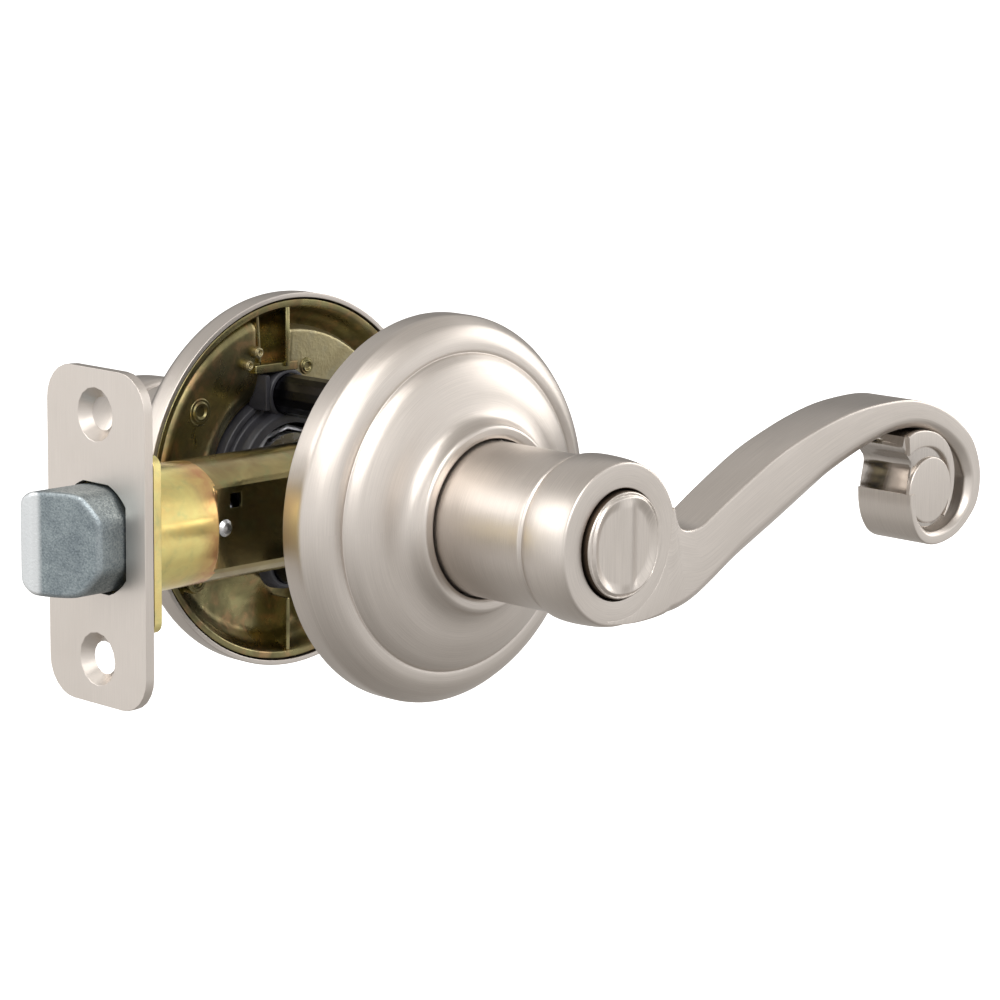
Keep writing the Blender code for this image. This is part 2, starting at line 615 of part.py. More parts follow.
make_roses()
make_interior_chassis()
make_exterior_chassis()
make_exterior_cover()
make_posts_and_screws()
for side_name, side_frame, side_sign in SIDES:
    make_lever(side_name, side_frame, side_sign)
    make_drive(side_name, side_frame, side_sign)
make_spindle()
make_button()
make_faceplates()
make_tube()
make_hub()
make_drawbar()
make_bolt()
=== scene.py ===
"""Looks of the privacy door lever set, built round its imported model.

Shapes are numpy grids in millimetres, turned into metres as they become meshes. A turned shape's
profile is (radius, depth), with depth measured from the door's middle along the spindle.
"""
import json
import math

import bmesh
import bpy
import numpy as np
from mathutils import Matrix, Vector

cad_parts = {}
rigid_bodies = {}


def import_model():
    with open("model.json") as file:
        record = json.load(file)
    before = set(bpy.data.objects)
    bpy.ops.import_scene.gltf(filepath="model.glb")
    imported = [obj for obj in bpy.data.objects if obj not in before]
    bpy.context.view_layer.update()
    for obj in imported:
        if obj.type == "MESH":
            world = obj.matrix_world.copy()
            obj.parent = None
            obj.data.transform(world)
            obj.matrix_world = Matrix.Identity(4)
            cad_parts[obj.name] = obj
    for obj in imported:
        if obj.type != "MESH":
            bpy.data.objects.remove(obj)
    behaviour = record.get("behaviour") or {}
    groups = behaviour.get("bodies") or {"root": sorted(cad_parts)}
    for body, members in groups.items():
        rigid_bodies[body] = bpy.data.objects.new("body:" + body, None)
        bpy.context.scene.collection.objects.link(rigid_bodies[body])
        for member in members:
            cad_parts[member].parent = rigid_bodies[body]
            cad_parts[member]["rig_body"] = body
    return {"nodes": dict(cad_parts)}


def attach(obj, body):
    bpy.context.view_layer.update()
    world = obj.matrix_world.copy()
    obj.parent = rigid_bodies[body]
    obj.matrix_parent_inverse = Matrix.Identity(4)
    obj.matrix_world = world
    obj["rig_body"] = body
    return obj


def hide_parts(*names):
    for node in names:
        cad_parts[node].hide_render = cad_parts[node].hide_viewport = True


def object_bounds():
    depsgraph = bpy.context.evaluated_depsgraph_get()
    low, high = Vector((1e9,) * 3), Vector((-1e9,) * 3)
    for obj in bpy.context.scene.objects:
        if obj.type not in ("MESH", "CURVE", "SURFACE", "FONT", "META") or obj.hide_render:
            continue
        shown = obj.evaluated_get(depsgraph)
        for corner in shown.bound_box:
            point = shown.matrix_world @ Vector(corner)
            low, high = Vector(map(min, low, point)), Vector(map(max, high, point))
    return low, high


MM = 0.001
ROOM = -1                 # the side with the turn button lies along -Y
FAR = 1

# Driving sizes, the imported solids' own or within 0.2 mm of them
DOOR_HALF = 17.46
ROSE_RADIUS = 34.3
NECK_RADIUS = 13.6
HEAD_RADIUS = 14.4
HEAD_START = 53.6
HEAD_FRONT = 63.4
EYE = (84.6, -1.4)
EYE_RADIUS = 6.2
BUTTON_RADIUS = 9.1
BUTTON_TOP = 65.0
TUBE_RADIUS = 10.75
TUBE_WALL = 0.75
CASE_HALF_WIDTH = 8.35    # where the tube is pressed flat on both sides
BOLT_TIP = 71.4
BOLT_BACK = 51.2
BOLT_MIDDLE = -0.5        # the bolt's section sits a little towards the room
BOLT_HALF_WIDTH = 6.9
BOLT_HALF_HEIGHT = 9.0
BOLT_ROUND = 9.55         # radius about the latch's axis
SPRING_BORE = 6.25
BORE_END = 64.4
LEVER_DROP = 68.0         # how far below the roses the floor lies, clear of a turned lever

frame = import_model()
cad_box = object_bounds()


# ---------------------------------------------------------------- mesh helpers

def grid_mesh(name, points, material, wrap_rows=False, crease=35):
    """A closed mesh over a grid of points (rows, columns, 3) in millimetres. Its columns wrap
    round, its poles are merged and its open ends are filled."""
    rows, columns = points.shape[:2]
    row = np.arange(rows if wrap_rows else rows - 1)
    r, c = np.meshgrid(row, np.arange(columns), indexing="ij")
    below = (r + 1) % rows
    beside = (c + 1) % columns
    faces = np.stack([r * columns + c, r * columns + beside, below * columns + beside,
                      below * columns + c], axis=-1).reshape(-1, 4)
    mesh = bpy.data.meshes.new(name)
    mesh.from_pydata(points.reshape(-1, 3) * MM, [], faces)
    shape = bmesh.new()
    shape.from_mesh(mesh)
    bmesh.ops.remove_doubles(shape, verts=shape.verts, dist=0.000002)
    bmesh.ops.holes_fill(shape, edges=shape.edges, sides=0)
    bmesh.ops.recalc_face_normals(shape, faces=shape.faces)
    shape.to_mesh(mesh)
    shape.free()
    return finish_piece(name, mesh, material, crease)


def finish_piece(name, mesh, material, crease=35):
    """An object for a mesh, shaded smooth up to the crease angle in degrees."""
    mesh.shade_smooth()
    mesh.set_sharp_from_angle(angle=math.radians(crease))
    mesh.materials.append(material)
    piece = bpy.data.objects.new(name, mesh)
    bpy.context.scene.collection.objects.link(piece)
    return piece


def rounded_line(corners, closed=True, steps=6):
    """Straight runs between corners (x, y, size); a corner is a parabola that starts size away."""
    line = []
    count = len(corners)
    t = np.linspace(0, 1, steps + 1)[:, None]
    for i, (x, y, size) in enumerate(corners):
        here = np.array((x, y), float)
        if size == 0 or (not closed and i in (0, count - 1)):
            line.append(here[None])
            continue
        before = np.array(corners[i - 1][:2], float) - here
        after = np.array(corners[(i + 1) % count][:2], float) - here
        start = here + before * min(size / np.linalg.norm(before), 0.5)
        end = here + after * min(size / np.linalg.norm(after), 0.5)
        line.append((1 - t) ** 2 * start + 2 * t * (1 - t) * here + t ** 2 * end)
    return np.concatenate(line)


def smooth_values(points, count):
    """A smooth curve (Catmull-Rom) through rows of values, sampled evenly along its first two
    columns."""
    points = np.asarray(points, float)
    padded = np.vstack([2 * points[0] - points[1], points, 2 * points[-1] - points[-2]])
    t = np.linspace(0, 1, 24, endpoint=False)[:, None]
    runs = []
    for a, b, c, d in zip(padded[:-3], padded[1:-2], padded[2:-1], padded[3:]):
        runs.append(0.5 * (2 * b + (c - a) * t + (2 * a - 5 * b + 4 * c - d) * t ** 2
                           + (3 * b - a - 3 * c + d) * t ** 3))
    dense = np.vstack(runs + [points[-1:]])
    length = np.concatenate([[0], np.cumsum(np.hypot(*np.diff(dense[:, :2], axis=0).T))])
    even = np.linspace(0, length[-1], count)
    return np.stack([np.interp(even, length, column) for column in dense.T], axis=1)


def smooth_step(low, high, value):
    """0 up to low, 1 from high, and t^2 (3 - 2 t) between; low may be the larger of the two."""
    t = np.clip((value - low) / (high - low), 0, 1)
    return t * t * (3 - 2 * t)


def turned(name, corners, side, material, angles=160, steps=6, closed=True, crease=35,
           centre=(0, 0)):
    """A profile carried round the spindle: x = r cos a, z = r sin a, y = side * depth."""
    profile = rounded_line(corners, closed, steps)
    angle = np.linspace(0, 2 * np.pi, angles, endpoint=False)
    radius, depth = profile[:, :1], profile[:, 1:]
    points = np.stack([centre[0] + radius * np.cos(angle),
                       np.broadcast_to(side * depth, (len(profile), angles)),
                       centre[1] + radius * np.sin(angle)], axis=-1)
    return grid_mesh(name, points, material, wrap_rows=closed, crease=crease)


def softened_copy(node, width, material):
    """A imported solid's own shape with its loose triangles merged and its edges rounded to a
    width in millimetres."""
    mesh = frame["nodes"][node].data.copy()
    mesh.name = node + "_finished"
    mesh.materials.clear()
    shape = bmesh.new()
    shape.from_mesh(mesh)
    bmesh.ops.remove_doubles(shape, verts=shape.verts, dist=0.000005)
    bmesh.ops.dissolve_limit(shape, angle_limit=math.radians(1), verts=shape.verts,
                             edges=shape.edges)
    shape.to_mesh(mesh)
    shape.free()
    piece = finish_piece(node + "_finished", mesh, material)
    bevel = piece.modifiers.new("rounded edges", "BEVEL")
    bevel.width = width * MM
    bevel.segments = 3
    bevel.limit_method = "ANGLE"
    bevel.angle_limit = math.radians(30)
    bevel.harden_normals = True
    return piece


def stand_for(piece, node):
    """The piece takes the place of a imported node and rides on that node's body."""
    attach(piece, frame["nodes"][node]["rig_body"])
    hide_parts(node)


# ---------------------------------------------------------------- shared shading groups

def new_group(name, inputs, outputs):
    """A shader group with its sockets; an input is (name, kind, default)."""
    group = bpy.data.node_groups.new(name, "ShaderNodeTree")
    for socket, kind, value in inputs:
        made = group.interface.new_socket(socket, in_out="INPUT", socket_type=kind)
        if value is not None:
            made.default_value = value
    for socket, kind in outputs:
        group.interface.new_socket(socket, in_out="OUTPUT", socket_type=kind)
    return group, group.nodes.new("NodeGroupInput"), group.nodes.new("NodeGroupOutput")


def add_node(tree, kind, **settings):
    """A node with its settings; a setting that names an input socket fills it in."""
    node = tree.nodes.new(kind)
    for key, value in settings.items():
        if hasattr(node, key):
            setattr(node, key, value)
        else:
            node.inputs[key.replace("_", " ")].default_value = value
    return node


def math_node(tree, operation, first, second=None, third=None, clamp=False):
    """A Math node's result; each operand is a number or another node's output."""
    node = tree.nodes.new("ShaderNodeMath")
    node.operation = operation
    node.use_clamp = clamp
    for socket, value in zip(node.inputs, (first, second, third)):
        if value is None:
            continue
        if isinstance(value, (int, float)):
            socket.default_value = value
        else:
            tree.links.new(value, socket)
    return node.outputs[0]


def make_brush_group():
    """Fine parallel brush lines: noise stretched along the first of two surface directions."""
    group, given, out = new_group(
        "brush_lines",
        [("Along", "NodeSocketFloat", 0.0), ("Across", "NodeSocketFloat", 0.0),
         ("Lines per mm", "NodeSocketFloat", 9.0), ("Stretch", "NodeSocketFloat", 60.0)],
        [("Lines", "NodeSocketFloat"), ("Bands", "NodeSocketFloat")])
    per_metre = math_node(group, "MULTIPLY", given.outputs["Lines per mm"], 1000.0)
    across = math_node(group, "MULTIPLY", given.outputs["Across"], per_metre)
    along = math_node(group, "MULTIPLY", given.outputs["Along"],
                      math_node(group, "DIVIDE", per_metre, given.outputs["Stretch"]))
    place = group.nodes.new("ShaderNodeCombineXYZ")
    group.links.new(along, place.inputs["X"])
    group.links.new(across, place.inputs["Y"])
    fine = add_node(group, "ShaderNodeTexNoise", Scale=1.0, Detail=3.0, Roughness=0.6)
    group.links.new(place.outputs[0], fine.inputs["Vector"])
    broad = add_node(group, "ShaderNodeTexNoise", Scale=0.3, Detail=3.0)
    group.links.new(place.outputs[0], broad.inputs["Vector"])
    group.links.new(fine.outputs["Fac"], out.inputs["Lines"])
    group.links.new(broad.outputs["Fac"], out.inputs["Bands"])
    return group


def make_turning_group():
    """A turned piece's two surface directions: round its axis, as the turn in radians at 20 mm
    from it, and across it, as radius + 1.3 y, so that faces and walls both get rings."""
    group, given, out = new_group(
        "round_the_axis", [("Vector", "NodeSocketVector", None)],
        [("Along", "NodeSocketFloat"), ("Across", "NodeSocketFloat")])
    split = group.nodes.new("ShaderNodeSeparateXYZ")
    group.links.new(given.outputs["Vector"], split.inputs[0])
    x, y, z = split.outputs
    radius = math_node(group, "SQRT", math_node(
        group, "ADD", math_node(group, "MULTIPLY", x, x), math_node(group, "MULTIPLY", z, z)))
    turn = math_node(group, "ARCTAN2", z, x)
    group.links.new(math_node(group, "MULTIPLY", turn, 0.02), out.inputs["Along"])
    group.links.new(math_node(group, "ADD", radius, math_node(group, "MULTIPLY", y, 1.3)),
                    out.inputs["Across"])
    return group


def make_tint_group():
    """Slow drifts between two tints, as plating varies over a part."""
    group, given, out = new_group(
        "tint_drift",
        [("Vector", "NodeSocketVector", None), ("First", "NodeSocketColor", (1, 1, 1, 1)),
         ("Second", "NodeSocketColor", (1, 1, 1, 1)), ("Patches per mm", "NodeSocketFloat", 0.1),
         ("Contrast", "NodeSocketFloat", 1.0)],
        [("Color", "NodeSocketColor"), ("Mask", "NodeSocketFloat")])
    noise = add_node(group, "ShaderNodeTexNoise", Detail=4.0, Roughness=0.55, Distortion=0.4)
    group.links.new(given.outputs["Vector"], noise.inputs["Vector"])
    group.links.new(math_node(group, "MULTIPLY", given.outputs["Patches per mm"], 1000.0),
                    noise.inputs["Scale"])
    centred = math_node(group, "SUBTRACT", noise.outputs["Fac"], 0.5)
    mask = math_node(group, "ADD", math_node(group, "MULTIPLY", centred,
                                             given.outputs["Contrast"]), 0.5, clamp=True)
    mix = add_node(group, "ShaderNodeMix", data_type="RGBA")
    group.links.new(mask, mix.inputs["Factor"])
    group.links.new(given.outputs["First"], mix.inputs[6])
    group.links.new(given.outputs["Second"], mix.inputs[7])
    group.links.new(mix.outputs[2], out.inputs["Color"])
    group.links.new(mask, out.inputs["Mask"])
    return group


def make_speckle_group():
    """Small pits and grains, as on a blasted or cast surface."""
    group, given, out = new_group(
        "speckle",
        [("Vector", "NodeSocketVector", None), ("Grains per mm", "NodeSocketFloat", 4.0)],
        [("Height", "NodeSocketFloat")])
    scale = math_node(group, "MULTIPLY", given.outputs["Grains per mm"], 1000.0)
    noise = add_node(group, "ShaderNodeTexNoise", Detail=3.0, Roughness=0.7)
    cells = group.nodes.new("ShaderNodeTexVoronoi")
    for texture in (noise, cells):
        group.links.new(given.outputs["Vector"], texture.inputs["Vector"])
        group.links.new(scale, texture.inputs["Scale"])
    total = math_node(group, "ADD", noise.outputs["Fac"],
                      math_node(group, "MULTIPLY", cells.outputs["Distance"], 0.6))
    group.links.new(total, out.inputs["Height"])
    return group


def make_worn_edge_highlight_group():
    """Bright edges, as rubbed wear and painted highlight: where the surface normal turns quickly
    inside a small radius.
    """
    group, given, out = new_group(
        "worn_edge_and_highlight", [("Vector", "NodeSocketVector", None), ("Width mm", "NodeSocketFloat", 0.4)],
        [("Mask", "NodeSocketFloat")])
    bevel = add_node(group, "ShaderNodeBevel", samples=4)
    group.links.new(math_node(group, "MULTIPLY", given.outputs["Width mm"], MM),
                    bevel.inputs["Radius"])
    flat_normal = group.nodes.new("ShaderNodeNewGeometry")
    dot = add_node(group, "ShaderNodeVectorMath", operation="DOT_PRODUCT")
    group.links.new(bevel.outputs[0], dot.inputs[0])
    group.links.new(flat_normal.outputs["Normal"], dot.inputs[1])
    turned_away = math_node(group, "SUBTRACT", 1.0, dot.outputs["Value"])
    noise = add_node(group, "ShaderNodeTexNoise", Scale=900.0, Detail=3.0)
    group.links.new(given.outputs["Vector"], noise.inputs["Vector"])
    rubbed = math_node(group, "MULTIPLY", math_node(group, "MULTIPLY", turned_away, 9.0),
                       math_node(group, "ADD", noise.outputs["Fac"], 0.3), clamp=True)
    group.links.new(rubbed, out.inputs["Mask"])
    return group


BRUSH = make_brush_group()
TURNING = make_turning_group()
TINT = make_tint_group()
SPECKLE = make_speckle_group()
WORN_EDGE_AND_HIGHLIGHT = make_worn_edge_highlight_group()


def use_group(tree, group, vector=None, **values):
    """A shared group placed in a material with its own values."""
    node = tree.nodes.new("ShaderNodeGroup")
    node.node_tree = group
    for key, value in values.items():
        node.inputs[key.replace("_", " ")].default_value = value
    if vector is not None:
        tree.links.new(vector, node.inputs["Vector"])
    return node


def new_finish(name, roughness, metallic=1.0):
    """A material, its tree, its shader and its object coordinates."""
    material = bpy.data.materials.new(name)
    material.use_nodes = True
    tree = material.node_tree
    shader = tree.nodes["Principled BSDF"]
    shader.inputs["Roughness"].default_value = roughness
    shader.inputs["Metallic"].default_value = metallic
    place = tree.nodes.new("ShaderNodeTexCoord").outputs["Object"]
    return material, tree, shader, place


def add_bump(tree, shader, height, distance, strength=1.0):
    """The height tilts the shader's normal; the distance is in millimetres."""
    bump = add_node(tree, "ShaderNodeBump", Distance=distance * MM, Strength=strength)
    tree.links.new(height, bump.inputs["Height"])
    tree.links.new(bump.outputs[0], shader.inputs["Normal"])


def vary_roughness(tree, shader, value, low, high):
    """Roughness runs from low to high as the value goes from 0 to 1."""
    spread = math_node(tree, "MULTIPLY_ADD", value, high - low, low)
    tree.links.new(spread, shader.inputs["Roughness"])


def soft_range(tree, value, start, end):
    """0 at start, 1 at end, and a smooth run between."""
    spread = add_node(tree, "ShaderNodeMapRange", interpolation_type="SMOOTHSTEP",
                      From_Min=start, From_Max=end)
    tree.links.new(value, spread.inputs["Value"])
    return spread.outputs["Result"]


def satin_nickel(name, way, lines_per_mm=7.0, spread=(0.29, 0.47), depth=0.34, gain=1.0):
    """Warm grey nickel, brushed round the spindle, upright, or along the piece's grain map. The
    lines darken it by their depth, and gain scales its two tints; a gain below 1 is painted shade."""
    material, tree, shader, place = new_finish(name, 0.3)
    lines = use_group(tree, BRUSH, Lines_per_mm=lines_per_mm, Stretch=70.0)
    if way == "round":
        ways = use_group(tree, TURNING, place).outputs
        tree.links.new(ways["Along"], lines.inputs["Along"])
        tree.links.new(ways["Across"], lines.inputs["Across"])
    elif way == "upright":
        split = tree.nodes.new("ShaderNodeSeparateXYZ")
        tree.links.new(place, split.inputs[0])
        tree.links.new(split.outputs["Z"], lines.inputs["Along"])
        tree.links.new(math_node(tree, "ADD", split.outputs["X"], split.outputs["Y"]),
                       lines.inputs["Across"])
    else:
        split = tree.nodes.new("ShaderNodeSeparateXYZ")
        grain = add_node(tree, "ShaderNodeUVMap", uv_map="grain")
        tree.links.new(grain.outputs[0], split.inputs[0])
        tree.links.new(split.outputs["X"], lines.inputs["Along"])
        tree.links.new(split.outputs["Y"], lines.inputs["Across"])
    first, second = (0.80, 0.74, 0.685), (0.71, 0.65, 0.592)
    tint = use_group(tree, TINT, place, First=(*(gain * c for c in first), 1),
                     Second=(*(gain * c for c in second), 1), Patches_per_mm=0.05, Contrast=1.2)
    shade = add_node(tree, "ShaderNodeMix", data_type="RGBA", blend_type="MULTIPLY")
    shade.inputs["Factor"].default_value = depth
    tree.links.new(tint.outputs["Color"], shade.inputs[6])
    tree.links.new(lines.outputs["Lines"], shade.inputs[7])
    tree.links.new(shade.outputs[2], shader.inputs["Base Color"])
    mixed = math_node(tree, "MULTIPLY_ADD", lines.outputs["Lines"], 0.6,
                      math_node(tree, "MULTIPLY", lines.outputs["Bands"], 0.4))
    vary_roughness(tree, shader, mixed, *spread)
    add_bump(tree, shader, lines.outputs["Lines"], 0.012, 0.7)
    return material


def zinc_plate(name, first, second, sheen, roughness, bump=0.01, grains=1.2, blush=None):
    """Dichromate-passivated zinc: drifting gold, olive and rose tints over a slightly worn skin,
    with a rose blush that grows between two places along X where blush gives them."""
    material, tree, shader, place = new_finish(name, roughness[0])
    base = use_group(tree, TINT, place, First=first, Second=second, Patches_per_mm=0.16,
                     Contrast=2.2)
    bloom = use_group(tree, TINT, place, Patches_per_mm=0.34, Contrast=3.0)
    mix = add_node(tree, "ShaderNodeMix", data_type="RGBA")
    mask = math_node(tree, "MULTIPLY", math_node(tree, "POWER", bloom.outputs["Mask"], 3.0), 0.7)
    tree.links.new(mask, mix.inputs["Factor"])
    tree.links.new(base.outputs["Color"], mix.inputs[6])
    mix.inputs[7].default_value = sheen
    colour = mix.outputs[2]
    if blush:
        split = tree.nodes.new("ShaderNodeSeparateXYZ")
        tree.links.new(place, split.inputs[0])
        warm = math_node(tree, "MULTIPLY", soft_range(tree, split.outputs["X"], *blush),
                         math_node(tree, "MULTIPLY_ADD", bloom.outputs["Mask"], 0.6, 0.35))
        tinged = add_node(tree, "ShaderNodeMix", data_type="RGBA")
        tree.links.new(warm, tinged.inputs["Factor"])
        tree.links.new(colour, tinged.inputs[6])
        tinged.inputs[7].default_value = (0.72, 0.34, 0.17, 1)
        colour = tinged.outputs[2]
    tree.links.new(colour, shader.inputs["Base Color"])
    grain = use_group(tree, SPECKLE, place, Grains_per_mm=grains)
    vary_roughness(tree, shader, base.outputs["Mask"], *roughness)
    add_bump(tree, shader, grain.outputs["Height"], bump)
    return material


def blasted_zinc():
    """The bolt: blue-grey bead-blasted casting, lightened along its edges as rubbed wear and painted
    highlight, and at its tip as painted highlight.
    """
    material, tree, shader, place = new_finish("blasted_zinc", 0.5)
    tint = use_group(tree, TINT, place, First=(0.38, 0.43, 0.45, 1), Second=(0.15, 0.18, 0.20, 1),
                     Patches_per_mm=3.2, Contrast=2.0)
    broad = use_group(tree, TINT, place, First=(1.25, 1.25, 1.22, 1), Second=(0.72, 0.74, 0.76, 1),
                      Patches_per_mm=0.3, Contrast=1.6)
    cloudy = add_node(tree, "ShaderNodeMix", data_type="RGBA", blend_type="MULTIPLY")
    cloudy.inputs["Factor"].default_value = 1.0
    tree.links.new(tint.outputs["Color"], cloudy.inputs[6])
    tree.links.new(broad.outputs["Color"], cloudy.inputs[7])
    # Edges lightened: rubbed wear and painted edge highlight.
    worn = use_group(tree, WORN_EDGE_AND_HIGHLIGHT, place, Width_mm=0.9)
    split = tree.nodes.new("ShaderNodeSeparateXYZ")
    tree.links.new(place, split.inputs[0])
    # Painted highlight: the flat tip is lightened towards pale grey.
    tip = soft_range(tree, split.outputs["X"], -0.0704, -0.0710)
    rubbed = math_node(tree, "MAXIMUM", worn.outputs["Mask"],
                       math_node(tree, "MULTIPLY", tip, 0.8))
    mix = add_node(tree, "ShaderNodeMix", data_type="RGBA")
    tree.links.new(rubbed, mix.inputs["Factor"])
    tree.links.new(cloudy.outputs[2], mix.inputs[6])
    mix.inputs[7].default_value = (0.84, 0.86, 0.87, 1)
    tree.links.new(mix.outputs[2], shader.inputs["Base Color"])
    grain = use_group(tree, SPECKLE, place, Grains_per_mm=3.0)
    vary_roughness(tree, shader, tint.outputs["Mask"], 0.38, 0.56)
    add_bump(tree, shader, grain.outputs["Height"], 0.05, 0.8)
    return material


def bright_steel(name, colour, roughness):
    """Plated or wire steel with faint grains, drifting to a tint a fifth darker."""
    material, tree, shader, place = new_finish(name, roughness)
    tint = use_group(tree, TINT, place, First=(*colour, 1), Second=(*(0.8 * c for c in colour), 1),
                     Patches_per_mm=0.5, Contrast=1.5)
    tree.links.new(tint.outputs["Color"], shader.inputs["Base Color"])
    grain = use_group(tree, SPECKLE, place, Grains_per_mm=2.0)
    vary_roughness(tree, shader, tint.outputs["Mask"], roughness - 0.06, roughness + 0.1)
    add_bump(tree, shader, grain.outputs["Height"], 0.006)
    return material


def black_moulding():
    """Moulded black nylon: slight sheen and a fine grain."""
    material, tree, shader, place = new_finish("black_moulding", 0.35, metallic=0.0)
    tint = use_group(tree, TINT, place, First=(0.018, 0.018, 0.022, 1),
                     Second=(0.035, 0.035, 0.042, 1), Patches_per_mm=0.3, Contrast=1.5)
    tree.links.new(tint.outputs["Color"], shader.inputs["Base Color"])
    grain = use_group(tree, SPECKLE, place, Grains_per_mm=2.5)
    vary_roughness(tree, shader, tint.outputs["Mask"], 0.36, 0.52)
    add_bump(tree, shader, grain.outputs["Height"], 0.012)
    return material


NICKEL_ROUND = satin_nickel("satin_nickel_turned", "round")
NICKEL_LONG = satin_nickel("satin_nickel_along", "grain", lines_per_mm=6.0)
NICKEL_FLAT = satin_nickel("satin_nickel_upright", "upright", lines_per_mm=6.0)
# The roll's polished nickel, its tints scaled to 0.74: painted shade for the dark reflections on its
# sides.
NICKEL_POLISHED_PAINTED_SHADE = satin_nickel("polished_nickel_painted_shade", "upright", lines_per_mm=4.0, spread=(0.1, 0.2),
                             gain=0.74)
NICKEL_PLATE = satin_nickel("satin_nickel_plate", "upright", lines_per_mm=9.0, depth=0.2)
GOLD_ZINC = zinc_plate("gold_zinc", (0.93, 0.84, 0.36, 1), (0.84, 0.60, 0.24, 1),
                       (0.66, 0.64, 0.30, 1), (0.14, 0.26))
TUBE_ZINC = zinc_plate("tube_zinc", (0.95, 0.86, 0.34, 1), (0.86, 0.64, 0.24, 1),
                       (0.70, 0.66, 0.28, 1), (0.12, 0.24), blush=(-0.0475, -0.0415))
# The case: the tube's zinc made dark brown, painted shade for the dark reflection on its flat sides.
CASE_ZINC_PAINTED_SHADE = zinc_plate("case_zinc_painted_shade", (0.52, 0.44, 0.20, 1), (0.28, 0.19, 0.09, 1),
                       (0.34, 0.34, 0.16, 1), (0.14, 0.28))
OLIVE_ZINC = zinc_plate("olive_zinc", (0.33, 0.30, 0.145, 1), (0.10, 0.085, 0.042, 1),
                        (0.40, 0.25, 0.13, 1), (0.2, 0.42), bump=0.02, grains=0.8)
PALE_ZINC = zinc_plate("pale_zinc", (0.52, 0.46, 0.27, 1), (0.30, 0.25, 0.14, 1),
                       (0.36, 0.33, 0.22, 1), (0.34, 0.5), bump=0.05, grains=1.6)
BOLT_ZINC = blasted_zinc()
# Near-black brown steel for the button's skirt and well: painted shade for the dark gap round the
# button.
BUTTON_GAP_PAINTED_SHADE = bright_steel("button_gap_painted_shade", (0.10, 0.075, 0.055), 0.42)
BRIGHT = bright_steel("bright_steel", (0.70, 0.71, 0.72), 0.24)
SPRING = bright_steel("spring_wire", (0.46, 0.46, 0.48), 0.30)
BLACK_STEEL = bright_steel("black_steel", (0.045, 0.045, 0.055), 0.30)
BLACK = black_moulding()


# ---------------------------------------------------------------- roses

def rose(side, node):
    """A spun sheet: rim, cove, crowned shoulder, crease, dome, then a flare to the collar."""
    profile = [
        (ROSE_RADIUS - 0.9, DOOR_HALF, 0.15), (ROSE_RADIUS, DOOR_HALF, 0.2),
        (ROSE_RADIUS, 21.6, 1.0), (33.7, 22.5, 0.8), (33.2, 23.2, 0.5), (32.4, 24.2, 0.9),
        (30.4, 25.5, 1.2), (28.5, 25.7, 0.5), (28.0, 25.55, 0.18), (27.75, 26.0, 0.25),
        (26.6, 27.2, 0.9), (23.0, 28.9, 2.4), (19.4, 29.7, 1.8), (17.6, 30.5, 1.2),
        (16.8, 31.7, 0.8), (16.35, 33.0, 0.4), (15.9, 33.35, 0.3), (14.6, 33.35, 0.3),
        (13.98, 33.1, 0.25), (13.98, 29.6, 0.2), (14.6, 29.6, 0.2), (15.4, 31.6, 0.3),
        (16.1, 30.6, 0.5),
        (17.8, 29.3, 1.2), (22.6, 28.0, 2.0), (26.2, 26.2, 1.0), (27.4, 24.8, 0.6),
        (30.2, 24.5, 1.0), (32.2, 22.9, 0.8), (ROSE_RADIUS - 0.9, 21.2, 0.6)]
    piece = turned(node + "_shell", profile, side, NICKEL_ROUND, angles=256, steps=7, crease=50)
    stand_for(piece, node)


# ---------------------------------------------------------------- levers

def lever_body(side, node):
    """The lever's neck and head: a groove where they meet, and in front the button's recess or
    a small release hole."""
    if side == ROOM:
        mouth = [(5.2, 60.2, 0), (9.5, 60.2, 0.2), (9.5, HEAD_FRONT, 0.25)]
    else:
        mouth = [(1.0, 62.0, 0), (1.0, HEAD_FRONT, 0.15)]
    bore = mouth[0][0]
    profile = mouth + [
        (HEAD_RADIUS - 0.55, HEAD_FRONT, 0.45), (HEAD_RADIUS - 0.1, 61.2, 1.2),
        (HEAD_RADIUS + 0.1, 57.6, 2.0), (HEAD_RADIUS + 0.05, 55.4, 1.0),
        (HEAD_RADIUS - 0.1, 54.2, 0.6), (HEAD_RADIUS - 0.5, HEAD_START + 0.1, 0.3),
        (NECK_RADIUS - 0.35, HEAD_START - 0.1, 0.12), (NECK_RADIUS - 0.3, HEAD_START - 0.5, 0.15),
        (NECK_RADIUS + 0.08, HEAD_START - 0.9, 0.3), (NECK_RADIUS, 51.0, 1.0),
        (NECK_RADIUS, 27.0, 0.2), (12.2, 27.0, 0.1), (12.2, 38.5, 0.1), (8.9, 38.5, 0.1),
        (8.9, 48.3, 0.1), (bore, 48.3, 0)]
    return turned(node + "_head", profile, side, NICKEL_ROUND, angles=176, steps=5)


